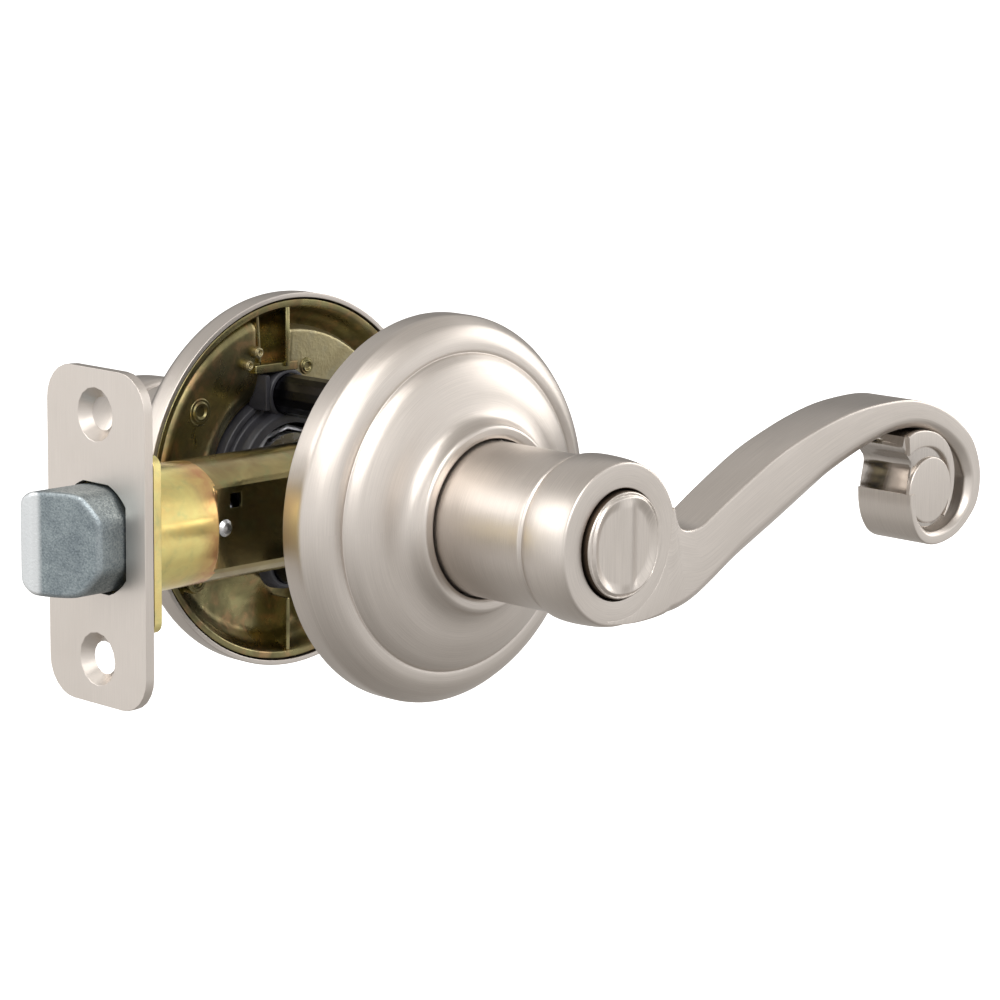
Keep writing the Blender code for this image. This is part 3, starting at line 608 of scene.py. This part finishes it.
# The arm's upper and lower edges: x, z, x, z, then the depth of its back. It starts round the
# head, and its end runs into the scroll's core.
ARM_EDGES = [
    (-3.0, -12.7, -3.0, -13.2, 55.4), (0.6, -12.8, 0.6, -13.75, 55.3),
    (4.2, -12.0, 4.3, -14.0, 55.2), (7.9, -9.6, 8.2, -14.0, 55.0), (10.6, -6.4, 11.6, -13.9, 54.8),
    (12.2, -2.2, 13.4, -13.8, 54.7), (12.7, 2.2, 14.8, -13.7, 54.6), (13.3, 4.6, 15.8, -13.6, 54.5),
    (14.1, 2.3, 17.0, -13.4, 54.5), (15.2, 0.8, 18.9, -13.0, 54.4), (17.4, 0.1, 21.8, -12.1, 54.2),
    (20.6, 0.5, 24.6, -11.0, 54.1), (23.8, 2.0, 27.4, -9.8, 54.0), (28.0, 4.2, 31.4, -7.9, 53.8),
    (34.2, 7.3, 38.4, -4.7, 53.6), (40.2, 10.1, 44.0, -2.1, 53.5), (46.1, 12.2, 49.6, 0.6, 53.4),
    (54.3, 14.4, 57.2, 4.2, 53.0), (62.7, 15.9, 65.0, 7.4, 52.6), (71.3, 16.4, 71.8, 9.7, 52.2),
    (78.0, 16.1, 76.8, 10.5, 51.8), (83.6, 14.8, 81.6, 10.3, 51.5), (88.4, 12.9, 86.0, 9.0, 51.3),
    (92.6, 10.4, 89.8, 7.0, 51.2), (96.6, 6.9, 93.4, 4.0, 51.1), (98.9, 2.4, 95.4, 0.6, 51.0),
    (99.45, -1.6, 95.8, -1.4, 51.0), (98.6, -5.4, 95.2, -4.6, 51.0), (96.2, -8.2, 93.4, -7.0, 51.0),
    (92.6, -10.6, 90.8, -8.6, 51.0), (88.4, -11.7, 87.8, -9.3, 51.0),
    (84.6, -11.6, 84.8, -9.2, 51.0), (81.6, -10.2, 82.6, -8.0, 51.0),
    (79.6, -7.6, 81.0, -6.2, 51.0), (78.6, -4.6, 80.2, -4.0, 51.0), (78.3, -1.6, 80.0, -1.6, 51.0)]


def lever_arm(side, node):
    """A band between the arm's two edges: at each place a five-cornered section, as wide as the
    edges lie apart, with a keen upper corner and a sloped lower one that grows off the head."""
    edges = smooth_values(ARM_EDGES, 460)
    upper, lower, backs = edges[:, 0:2], edges[:, 2:4], edges[:, 4]
    front = HEAD_FRONT + 0.02
    rows = []
    for high, low, back in zip(upper, lower, backs):
        middle, across = (high + low) / 2, (high - low) / 2
        half = np.linalg.norm(across)
        slope = min(3.2, half * 0.6) * (0.3 + 0.7 * smooth_step(6, 34, middle[0]))
        keen = min(0.5, half * 0.3, max(0.1, np.linalg.norm(high) - HEAD_RADIUS))
        section = rounded_line([(half, front, keen), (slope - half, front, slope * 0.4),
                                (-half, front - slope, slope * 0.5),
                                (-half, back, slope * 0.6), (half, back, keen)])
        place = middle + across / half * section[:, :1]
        rows.append(np.stack([place[:, 0], side * section[:, 1], place[:, 1]], axis=-1))
    piece = grid_mesh(node + "_arm", np.array(rows), NICKEL_LONG)
    line = ((upper + lower) / 2)[72::4]                  # from where the arm leaves the head
    lead = line[0] + (line[0] - line[1]) * np.arange(24, 0, -1)[:, None]
    add_grain_map(piece, np.concatenate([lead, line]))
    return piece


def add_grain_map(piece, line):
    """A UV map of each corner's distance along a line and its signed place across it."""
    mesh = piece.data
    co = np.zeros(len(mesh.vertices) * 3, np.float32)
    mesh.vertices.foreach_get("co", co)
    co = co.reshape(-1, 3) / MM
    run = np.gradient(line, axis=0)
    run /= np.linalg.norm(run, axis=1)[:, None]
    length = np.concatenate([[0], np.cumsum(np.linalg.norm(np.diff(line, axis=0), axis=1))])
    away = co[:, None, [0, 2]] - line[None]
    nearest = (away ** 2).sum(axis=2).argmin(axis=1)
    away = away[np.arange(len(co)), nearest]
    run = run[nearest]
    along = length[nearest] + (away * run).sum(axis=1)
    across = away[:, 1] * run[:, 0] - away[:, 0] * run[:, 1] + co[:, 1]
    corner = np.zeros(len(mesh.loops), np.int32)
    mesh.loops.foreach_get("vertex_index", corner)
    grain = mesh.uv_layers.new(name="grain")
    grain.data.foreach_set("uv", (np.stack([along, across], 1)[corner] * MM).ravel())


# The roll's outline, from its cut end down its open side, under the eye and back over the top
CORE_OUTLINE = [
    (77.4, 9.2), (76.95, 7.9), (77.15, 6.7), (78.1, 5.65), (79.15, 4.4), (79.35, 3.0), (78.9, 0.8),
    (78.5, -1.5), (78.75, -3.8), (80.4, -6.6), (83.2, -8.3), (86.6, -8.3), (89.6, -6.8),
    (91.4, -4.0), (92.1, -0.4), (91.6, 3.2), (89.8, 6.4), (86.8, 8.7), (83.2, 9.8), (79.8, 9.9)]


def scroll_core(side, node):
    """The solid roll inside the scroll: a smooth closed outline, scaled about the eye, carried
    along the spindle's direction, with a face a little behind the arm's. Its finish is darkened as
    painted shade."""
    outline = smooth_values(CORE_OUTLINE + CORE_OUTLINE[:1], 180)[:-1]
    centre = np.array(EYE)
    levels = np.array([(0.0, HEAD_FRONT - 1.0), (0.97, HEAD_FRONT - 1.0), (0.99, HEAD_FRONT - 1.1),
                       (1.0, HEAD_FRONT - 1.4), (1.0, 51.6), (0.98, 51.3), (0.0, 51.3)])
    x, z = np.moveaxis(centre + (outline - centre) * levels[:, :1, None], -1, 0)
    depth = np.broadcast_to(side * levels[:, 1:], x.shape)
    return grid_mesh(node + "_core", np.stack([x, depth, z], axis=-1), NICKEL_POLISHED_PAINTED_SHADE)


def scroll_eye(side, node):
    """The scroll's round eye, a disc with a softened rim."""
    profile = [(0, HEAD_FRONT - 0.3, 0), (EYE_RADIUS - 0.1, HEAD_FRONT - 0.3, 0.3),
               (EYE_RADIUS, HEAD_FRONT - 1.2, 0.1), (0, HEAD_FRONT - 1.2, 0)]
    return turned(node + "_eye", profile, side, NICKEL_FLAT, angles=96, closed=False, centre=EYE)


def scroll_leaf(side, node):
    """The inner curl: a crescent from a cut end over the eye, thinning away down its far side.
    Its outer line is the roll's, and its width t along it is 3.5 (1 - t)^0.8 + 0.15 mm."""
    outer = smooth_values((CORE_OUTLINE + CORE_OUTLINE[:1])[::-1], 220)[1:112]
    t = np.linspace(0, 1, len(outer))[:, None]
    aim = np.array(EYE) + np.array((-6.0, 2.0)) * (1 - t) ** 2 + np.array((1.0, 0.0)) * t
    inward = aim - outer
    inward /= np.linalg.norm(inward, axis=1)[:, None]
    width = 3.5 * (1 - t) ** 0.8 + 0.15
    rows = []
    for start, way, wide, fall in zip(outer, inward, width[:, 0], t[:, 0]):
        face = HEAD_FRONT - 0.2 - 0.45 * fall
        size = min(0.35, wide * 0.3)
        section = rounded_line([(-0.05, face, size), (wide, face, size), (wide, 62.2, 0),
                                (-0.05, 62.2, 0)], steps=5)
        rows.append(np.stack([start[0] + way[0] * section[:, 0], side * section[:, 1],
                              start[1] + way[1] * section[:, 0]], axis=-1))
    return grid_mesh(node + "_leaf", np.array(rows), NICKEL_FLAT)


def lever(side, node):
    """One whole lever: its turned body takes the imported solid's place, and the rest rides on it."""
    stand_for(lever_body(side, node), node)
    for piece in (lever_arm(side, node), scroll_core(side, node), scroll_eye(side, node),
                  scroll_leaf(side, node)):
        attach(piece, frame["nodes"][node]["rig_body"])


# ---------------------------------------------------------------- turn button

def turn_button():
    """A disc whose face is a height field: a rim, a raised oval, and a ridge between two scoops.

    In the oval the face sinks by 0.7 mm away from its edge, and the ridge lifts it again as
    exp(-|x / 2.4|^2.4).
    """
    radius = np.concatenate([np.linspace(0.0, 8.2, 84), np.linspace(8.25, 9.0, 10)])
    turn = np.linspace(0, 2 * np.pi, 300, endpoint=False)
    r, a = np.meshgrid(radius, turn, indexing="ij")
    x, z = r * np.cos(a), r * np.sin(a)
    oval = np.sqrt(np.abs(x / 7.9) ** 2.3 + np.abs(z / 8.4) ** 2.3)
    inside = smooth_step(1.0, 0.95, oval)
    ridge = np.exp(-np.abs(x / 2.4) ** 2.4)
    hollow = smooth_step(1.0, 0.72, oval)
    groove = np.exp(-((oval - 1.02) / 0.018) ** 2)
    depth = (BUTTON_TOP - 0.45 + inside * (0.3 - hollow * (0.7 - 0.95 * ridge))
             - 0.16 * groove - 0.2 * smooth_step(8.7, 9.0, r) ** 2)
    face = np.stack([x, -depth, z], axis=-1)
    side = rounded_line([(9.0, BUTTON_TOP - 0.8, 0), (BUTTON_RADIUS, BUTTON_TOP - 1.0, 0.1),
                         (BUTTON_RADIUS, 60.7, 0.1), (0, 60.7, 0)], closed=False)
    wall = np.stack([side[:, :1] * np.cos(turn), np.broadcast_to(-side[:, 1:], (len(side), 300)),
                     side[:, :1] * np.sin(turn)], axis=-1)
    piece = grid_mesh("turn_button_face", np.concatenate([face, wall[1:]]), NICKEL_FLAT)
    stand_for(piece, "turn_button")
    skirt = [(8.98, BUTTON_TOP - 0.72, 0), (9.14, BUTTON_TOP - 0.8, 0.05), (9.14, 60.6, 0.1),
             (9.0, 60.6, 0)]
    well = [(9.1, 60.25, 0), (9.44, 60.25, 0), (9.46, HEAD_FRONT - 0.5, 0),
            (9.4, HEAD_FRONT - 0.45, 0)]
    # The skirt and well carry painted shade: dark brown rings in the gap round the button's edge.
    for name, profile, body in (("turn_button_skirt", skirt, "button_and_cam"),
                                ("button_well", well, "room_side_lever")):
        added = turned(name, profile, ROOM, BUTTON_GAP_PAINTED_SHADE)
        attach(added, body)


# ---------------------------------------------------------------- latch

def latch_shell():
    """The round sleeve, pressed flat at its inner end where the case begins."""
    outer = shell_surface(TUBE_RADIUS, 0.0)
    inner = shell_surface(TUBE_RADIUS - TUBE_WALL, TUBE_WALL)[::-1]
    piece = grid_mesh("latch_sleeve", np.concatenate([outer, inner]), TUBE_ZINC, wrap_rows=True)
    stand_for(piece, "latch_tube")


def shell_surface(radius, wall):
    """Circles along the latch, y = r sin a and z = r cos a, with |y| softly held under a width
    that narrows to the case's."""
    along = np.concatenate([np.linspace(-55.9, -42.8, 12), np.linspace(-42.6, -40.8, 28)])
    turn = np.linspace(0, 2 * np.pi, 220, endpoint=False)
    width = radius - (radius + wall - CASE_HALF_WIDTH) * smooth_step(-42.4, -41.2, along)
    x, a = np.meshgrid(along, turn, indexing="ij")
    across = radius * np.sin(a)
    held = width[:, None] * np.tanh((np.abs(across) / width[:, None]) ** 14) ** (1 / 14)
    return np.stack([x, np.sign(across) * held, radius * np.cos(a)], axis=-1)


def latch_bolt():
    """The bolt: rings of a corner-cut section, each ring's depth following a flat tip that runs
    smoothly into a slanted face, with the outermost rings rolled back as a quarter circle. Its
    back is bored, so that the spring goes into it as it moves in."""
    turn = np.linspace(0, 2 * np.pi, 320, endpoint=False)
    y, z = np.cos(turn), np.sin(turn)
    reach = section_reach(y, z)
    roll = np.sin(np.linspace(0, np.pi / 2, 12))[1:]
    s, _ = np.meshgrid(np.concatenate([np.linspace(0, 0.91, 46), 0.91 + 0.09 * roll]), turn,
                       indexing="ij")
    across = s * reach * y + BOLT_MIDDLE
    slant = BOLT_TIP - (3.2 - across) * 0.56
    front = -0.12 * np.logaddexp(-slant / 0.12, -BOLT_TIP / 0.12)
    rolled = 0.7 * (1 - np.sqrt(np.clip(1 - np.clip((s - 0.91) / 0.09, 0, 1) ** 2, 0, 1)))
    face = np.stack([rolled - front, across, s * reach * z], axis=-1)
    wall = [np.stack([np.full(len(turn), -depth), reach * y + BOLT_MIDDLE, reach * z], axis=-1)
            for depth in (63.0, 58.0, BOLT_BACK)]
    bore = [np.stack([np.full(len(turn), -depth), radius * y, radius * z], axis=-1)
            for depth, radius in ((BOLT_BACK, SPRING_BORE), (BORE_END, SPRING_BORE),
                                  (BORE_END, 0.0))]
    piece = grid_mesh("latch_bolt_finished", np.concatenate([face, np.array(wall + bore)]),
                      BOLT_ZINC, crease=50)
    stand_for(piece, "latch_bolt")


def section_reach(y, z):
    """How far the bolt's section reaches from its middle in a direction (y, z): the softened
    least of an upright block, a circle round the latch's axis, and a straight cut across each
    corner on the room's side."""
    block = np.abs(y / BOLT_HALF_WIDTH) ** 26 + np.abs(z / BOLT_HALF_HEIGHT) ** 26
    beside = BOLT_MIDDLE * y
    circle = -beside + np.sqrt(beside ** 2 - BOLT_MIDDLE ** 2 + BOLT_ROUND ** 2)
    cut = np.maximum(0.58 * np.abs(z) - 0.815 * y, 0.01) / 8.2
    return (block + circle ** -26.0 + cut ** 26) ** (-1 / 26)


def latch():
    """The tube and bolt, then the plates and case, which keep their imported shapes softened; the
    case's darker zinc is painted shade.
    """
    latch_shell()
    latch_bolt()
    for node, width, finish, slot in (
            ("latch_faceplate", 0.35, NICKEL_PLATE, "satin_nickel"),
            ("latch_backplate", 0.3, GOLD_ZINC, "gold_zinc_plate"),
            ("latch_case", 0.25, CASE_ZINC_PAINTED_SHADE, "olive_zinc_casting")):
        stand_for(softened_copy(node, width, finish), node)


# ---------------------------------------------------------------- inside of the far rose

def bar(name, start, end, width, low, high, finish):
    """A cast rib: a rounded strip from start to end (x, z), between two depths."""
    start, end = np.array(start, float), np.array(end, float)
    run = (end - start) / np.linalg.norm(end - start)
    across = np.array((-run[1], run[0])) * width / 2
    section = rounded_line([(1, low, 0.3), (-1, low, 0.3), (-1, high, 0), (1, high, 0)], steps=4)
    rows = []
    for t, inset in ((0, 0.35), (0.02, 0.1), (0.5, 0), (0.98, 0.1), (1, 0.35)):
        wide = start + (end - start) * t + across * section[:, :1] * (1 - inset * 0.5)
        rows.append(np.stack([wide[:, 0], section[:, 1] + inset * 0.6, wide[:, 1]], -1))
    return grid_mesh(name, np.array(rows), finish)


def panel(name, start, end, corners, finish):
    """A raised panel of the casting: a rounded section (radius, depth) swept between two
    angles, x = r cos a, z = r sin a, and lowered by 0.6 mm at its two ends."""
    section = rounded_line(corners, steps=5)
    turn = np.radians(np.linspace(start, end, 72))[:, None]
    ease = np.clip((1 - np.abs(np.linspace(-1, 1, 72))) * 18, 0, 1)[:, None]
    depth = section[:, 1] + 0.6 * (1 - ease) ** 2
    return grid_mesh(name, np.stack([section[:, 0] * np.cos(turn), depth,
                                     section[:, 0] * np.sin(turn)], axis=-1), finish)


def far_casting():
    """The casting: a turned pan with a light lip, sloped panels, a few ribs and bosses."""
    profile = [
        (8.9, 24.4, 0), (15.6, 24.4, 0.2), (15.9, 21.9, 0.5), (18.4, 21.4, 0.6),
        (23.2, 22.6, 0.8), (28.4, 22.2, 1.0), (30.6, 20.4, 0.9), (31.6, 18.3, 0.3),
        (32.0, 17.7, 0.25), (33.1, 17.7, 0.3),
        (33.2, 21.0, 0.5), (32.0, 22.6, 0.4), (30.4, 23.6, 0.3), (27.4, 24.1, 0.3),
        (26.2, 24.8, 0.3), (23.4, 26.4, 0.3), (11.9, 26.6, 0.1), (11.9, 36.0, 0.1), (8.9, 36.0, 0)]
    piece = turned("far_casting", profile, FAR, OLIVE_ZINC, angles=220, steps=5)
    stand_for(piece, "exterior_chassis")
    slope = [(16.6, 21.4, 0.8), (19.6, 19.9, 1.2), (29.6, 18.8, 0.8), (30.9, 19.6, 0.5),
             (30.9, 23.0, 0), (16.6, 23.0, 0)]
    plateau = [(17.2, 20.2, 0.5), (18.0, 19.0, 0.5), (27.4, 18.6, 0.5), (28.2, 20.4, 0.5),
               (28.2, 23.0, 0), (17.2, 23.0, 0)]
    pieces = [panel("cast_slope_left", 104, 206, slope, OLIVE_ZINC),
              panel("cast_plateau_high", 30, 90, plateau, PALE_ZINC),
              panel("cast_plateau_low", 282, 330, plateau, PALE_ZINC)]
    ribs = ((-1.0, 21.0, -1.0, 31.8, 1.0, 17.8), (-1.0, -22.0, -1.0, -31.8, 0.9, 17.8),
            (-6.8, 22.0, -7.4, 31.0, 0.7, 18.9), (22.0, 0.5, 31.4, 0.7, 0.9, 18.2))
    for i, (x0, z0, x1, z1, width, low) in enumerate(ribs):
        pieces.append(bar(f"cast_rib_{i}", (x0, z0), (x1, z1), width, low, 23.0, OLIVE_ZINC))
    pieces.append(bar("cast_ledge", (-8.2, 20.9), (2.2, 20.9), 1.7, 18.4, 23.0, OLIVE_ZINC))
    bosses = ((-20.9, 14.6, 2.7, 18.5), (23.6, -14.5, 3.0, 18.2), (-9.9, 21.9, 1.0, 17.8),
              (-7.6, 24.0, 1.1, 17.8), (4.4, 20.4, 1.7, 18.2), (-22.0, -16.0, 2.4, 18.5))
    for i, (x, z, radius, low) in enumerate(bosses):
        rings = [(0, low + 0.5, 0), (radius * 0.35, low + 0.5, 0.1),
                 (radius * 0.45, low + 0.15, 0.1), (radius * 0.6, low + 0.1, 0.1),
                 (radius * 0.68, low + 0.4, 0.1), (radius * 0.85, low + 0.35, 0.1),
                 (radius, low + 0.9, 0.3), (radius, 23.0, 0), (0, 23.0, 0)]
        finish = PALE_ZINC if radius < 1.5 else OLIVE_ZINC          # the two studs are rubbed
        pieces.append(turned(f"cast_boss_{i}", rings, FAR, finish, angles=48, steps=3,
                             closed=False, centre=(x, z)))
    for piece in pieces:
        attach(piece, "fixed_parts")


def drive_cover():
    """The black cover: stepped rings round the spindle, with a collar for each post."""
    profile = [(10.5, 24.2, 0), (10.5, 17.9, 0.3), (12.3, 17.9, 0.4), (12.9, 19.2, 0.3),
               (13.0, 20.9, 0.3), (13.8, 21.1, 0.2), (14.1, 20.7, 0.2), (15.0, 20.9, 0.2),
               (15.4, 22.4, 0.3), (15.4, 24.2, 0)]
    piece = turned("drive_cover", profile, FAR, BLACK, angles=144, steps=4)
    stand_for(piece, "exterior_drive_cover")
    pieces = []
    for i, z in enumerate((15.6, -15.6)):
        collar = [(3.95, 23.0, 0), (3.95, 18.6, 0.1), (4.6, 18.6, 0.3), (5.0, 19.6, 0.4),
                  (5.3, 23.0, 0)]
        pieces.append(turned(f"post_collar_{i}", collar, FAR, BLACK, angles=64, steps=4,
                             centre=(0, z)))
    pieces.append(bar("cover_pin", (-6.2, 13.4), (-6.2, 19.8), 1.0, 17.4, 22.0, BLACK))
    for added in pieces:
        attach(added, "fixed_parts")


def other_nodes():
    """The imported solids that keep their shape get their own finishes."""
    finishes = {
        BRIGHT: ("interior_chassis", "mounting_screw_upper", "mounting_screw_lower",
                 "interior_drive_sleeve", "exterior_drive_sleeve", "interior_lever_catch",
                 "exterior_lever_catch", "half_round_spindle", "button_shaft", "lock_cam",
                 "case_rivet_near", "case_rivet_far"),
        SPRING: ("interior_snap_ring", "exterior_snap_ring", "interior_return_spring",
                 "exterior_return_spring", "button_washer", "bolt_spring"),
        BLACK_STEEL: ("screw_post_upper", "screw_post_lower"),
        BLACK: ("interior_rose_liner",),
        GOLD_ZINC: ("latch_hub",),
        OLIVE_ZINC: ("spring_seat", "drawbar", "bolt_tail")}
    for finish, names in finishes.items():
        for name in names:
            frame["nodes"][name].material_slots[0].material = finish


# ---------------------------------------------------------------- stage

def direction_of(azimuth, elevation):
    """A unit direction: the azimuth turns from -Y towards +X, and the elevation lifts it."""
    a, e = math.radians(azimuth), math.radians(elevation)
    return Vector((math.sin(a) * math.cos(e), -math.cos(a) * math.cos(e), math.sin(e)))


def toward(tree, way, axis):
    """How far a direction points along an axis, from -1 to 1."""
    dot = add_node(tree, "ShaderNodeVectorMath", operation="DOT_PRODUCT")
    tree.links.new(way, dot.inputs[0])
    dot.inputs[1].default_value = axis
    return dot.outputs["Value"]


def build_stage():
    """A plain pale floor, a soft surround and three broad lights."""
    mesh = bpy.data.meshes.new("floor")
    reach = 6.0                                          # metres, out of any view
    low = cad_box[0][2] - LEVER_DROP * MM
    mesh.from_pydata([(-reach, -reach, low), (reach, -reach, low), (reach, reach, low),
                      (-reach, reach, low)], [], [(0, 1, 2, 3)])
    material, _, shader, _ = new_finish("pale_floor", 0.9, metallic=0.0)
    shader.inputs["Base Color"].default_value = (0.9, 0.9, 0.9, 1)
    shader.inputs["Emission Color"].default_value = (1, 1, 1, 1)
    shader.inputs["Emission Strength"].default_value = 0.7
    floor = finish_piece("floor", mesh, material)
    floor.visible_glossy = False

    build_surround()
    for name, azimuth, elevation, distance, size, watts in (
            ("key", 325, 42, 1.2, 0.9, 10.0), ("side", 75, 20, 1.3, 0.8, 5.0),
            ("edge", 240, 30, 1.3, 0.7, 4.0)):
        data = bpy.data.lights.new(name, "AREA")
        data.energy = watts
        data.size = size
        data.color = (1.0, 0.985, 0.965)
        light = bpy.data.objects.new(name, data)
        bpy.context.scene.collection.objects.link(light)
        away = direction_of(azimuth, elevation)
        light.location = away * distance
        light.rotation_euler = away.to_track_quat("Z", "Y").to_euler()


def build_surround():
    """A white studio that darkens overhead, underfoot and behind, so that upturned and
    downturned faces read grey, with a slightly brighter patch on the left."""
    world = bpy.data.worlds.new("studio")
    bpy.context.scene.world = world
    world.use_nodes = True
    tree = world.node_tree
    way = tree.nodes.new("ShaderNodeTexCoord").outputs["Generated"]
    split = tree.nodes.new("ShaderNodeSeparateXYZ")
    tree.links.new(way, split.inputs[0])
    ramp = tree.nodes.new("ShaderNodeValToRGB")
    stops = ((0.0, 0.36), (0.17, 0.50), (0.32, 0.68), (0.41, 0.92), (0.54, 1.06), (0.70, 1.0),
             (0.86, 0.60), (1.0, 0.5))
    while len(ramp.color_ramp.elements) < len(stops):
        ramp.color_ramp.elements.new(0.5)
    for element, (position, value) in zip(ramp.color_ramp.elements, stops):
        element.position = position
        pale = min(max((value - 0.35) / 0.6, 0), 1)          # the darker, the warmer
        element.color = (value, value * (0.955 + 0.04 * pale), value * (0.90 + 0.09 * pale), 1)
    tree.links.new(math_node(tree, "MULTIPLY_ADD", split.outputs["Z"], 0.5, 0.5),
                   ramp.inputs[0])
    level = math_node(tree, "ABSOLUTE", math_node(tree, "SUBTRACT", split.outputs["Z"], 0.15))
    low_band = soft_range(tree, level, 0.5, 0.25)
    behind = soft_range(tree, toward(tree, way, (0.716, 0.698, 0.0)), 0.25, 0.8)
    shade = math_node(tree, "MULTIPLY", math_node(tree, "MULTIPLY", low_band, behind), 0.84)
    left = soft_range(tree, toward(tree, way, (-0.78, 0.6, -0.15)), 0.6, 0.95)
    gain = math_node(tree, "MULTIPLY_ADD", left, 0.12, math_node(tree, "SUBTRACT", 1.0, shade))
    seen = tree.nodes.new("ShaderNodeLightPath").outputs["Is Camera Ray"]
    mix = add_node(tree, "ShaderNodeMix", data_type="RGBA")
    lit = add_node(tree, "ShaderNodeVectorMath", operation="SCALE")
    tree.links.new(ramp.outputs[0], lit.inputs[0])
    tree.links.new(gain, lit.inputs["Scale"])
    tree.links.new(seen, mix.inputs["Factor"])
    tree.links.new(lit.outputs[0], mix.inputs[6])
    mix.inputs[7].default_value = (1, 1, 1, 1)
    tree.links.new(mix.outputs[2], tree.nodes["Background"].inputs["Color"])


def set_colours():
    """Plain colour handling, so that white stays white."""
    bpy.context.scene.view_settings.view_transform = "Standard"


def build_camera():
    """A long lens, a little above the latch's side of the room-side face."""
    data = bpy.data.cameras.new("camera")
    data.lens = 126.0
    data.sensor_width = 36.0
    back = direction_of(314.3, 10.74)
    level = Vector((0, 0, 1)).cross(back).normalized()
    upright = back.cross(level)
    roll = math.radians(0.63)
    right = level * math.cos(roll) + upright * math.sin(roll)
    up = upright * math.cos(roll) - level * math.sin(roll)
    camera = bpy.data.objects.new("camera", data)
    place = (right * 25.17 - up * 1.29 + back * 626.24) * MM
    camera.matrix_world = Matrix.Translation(place) @ Matrix((right, up, back)).transposed().to_4x4()
    bpy.context.scene.collection.objects.link(camera)
    bpy.context.scene.camera = camera


rose(ROOM, "interior_rose")
rose(FAR, "exterior_rose")
lever(ROOM, "interior_lever")
lever(FAR, "exterior_lever")
turn_button()
latch()
far_casting()
drive_cover()
other_nodes()
build_stage()
build_camera()
set_colours()
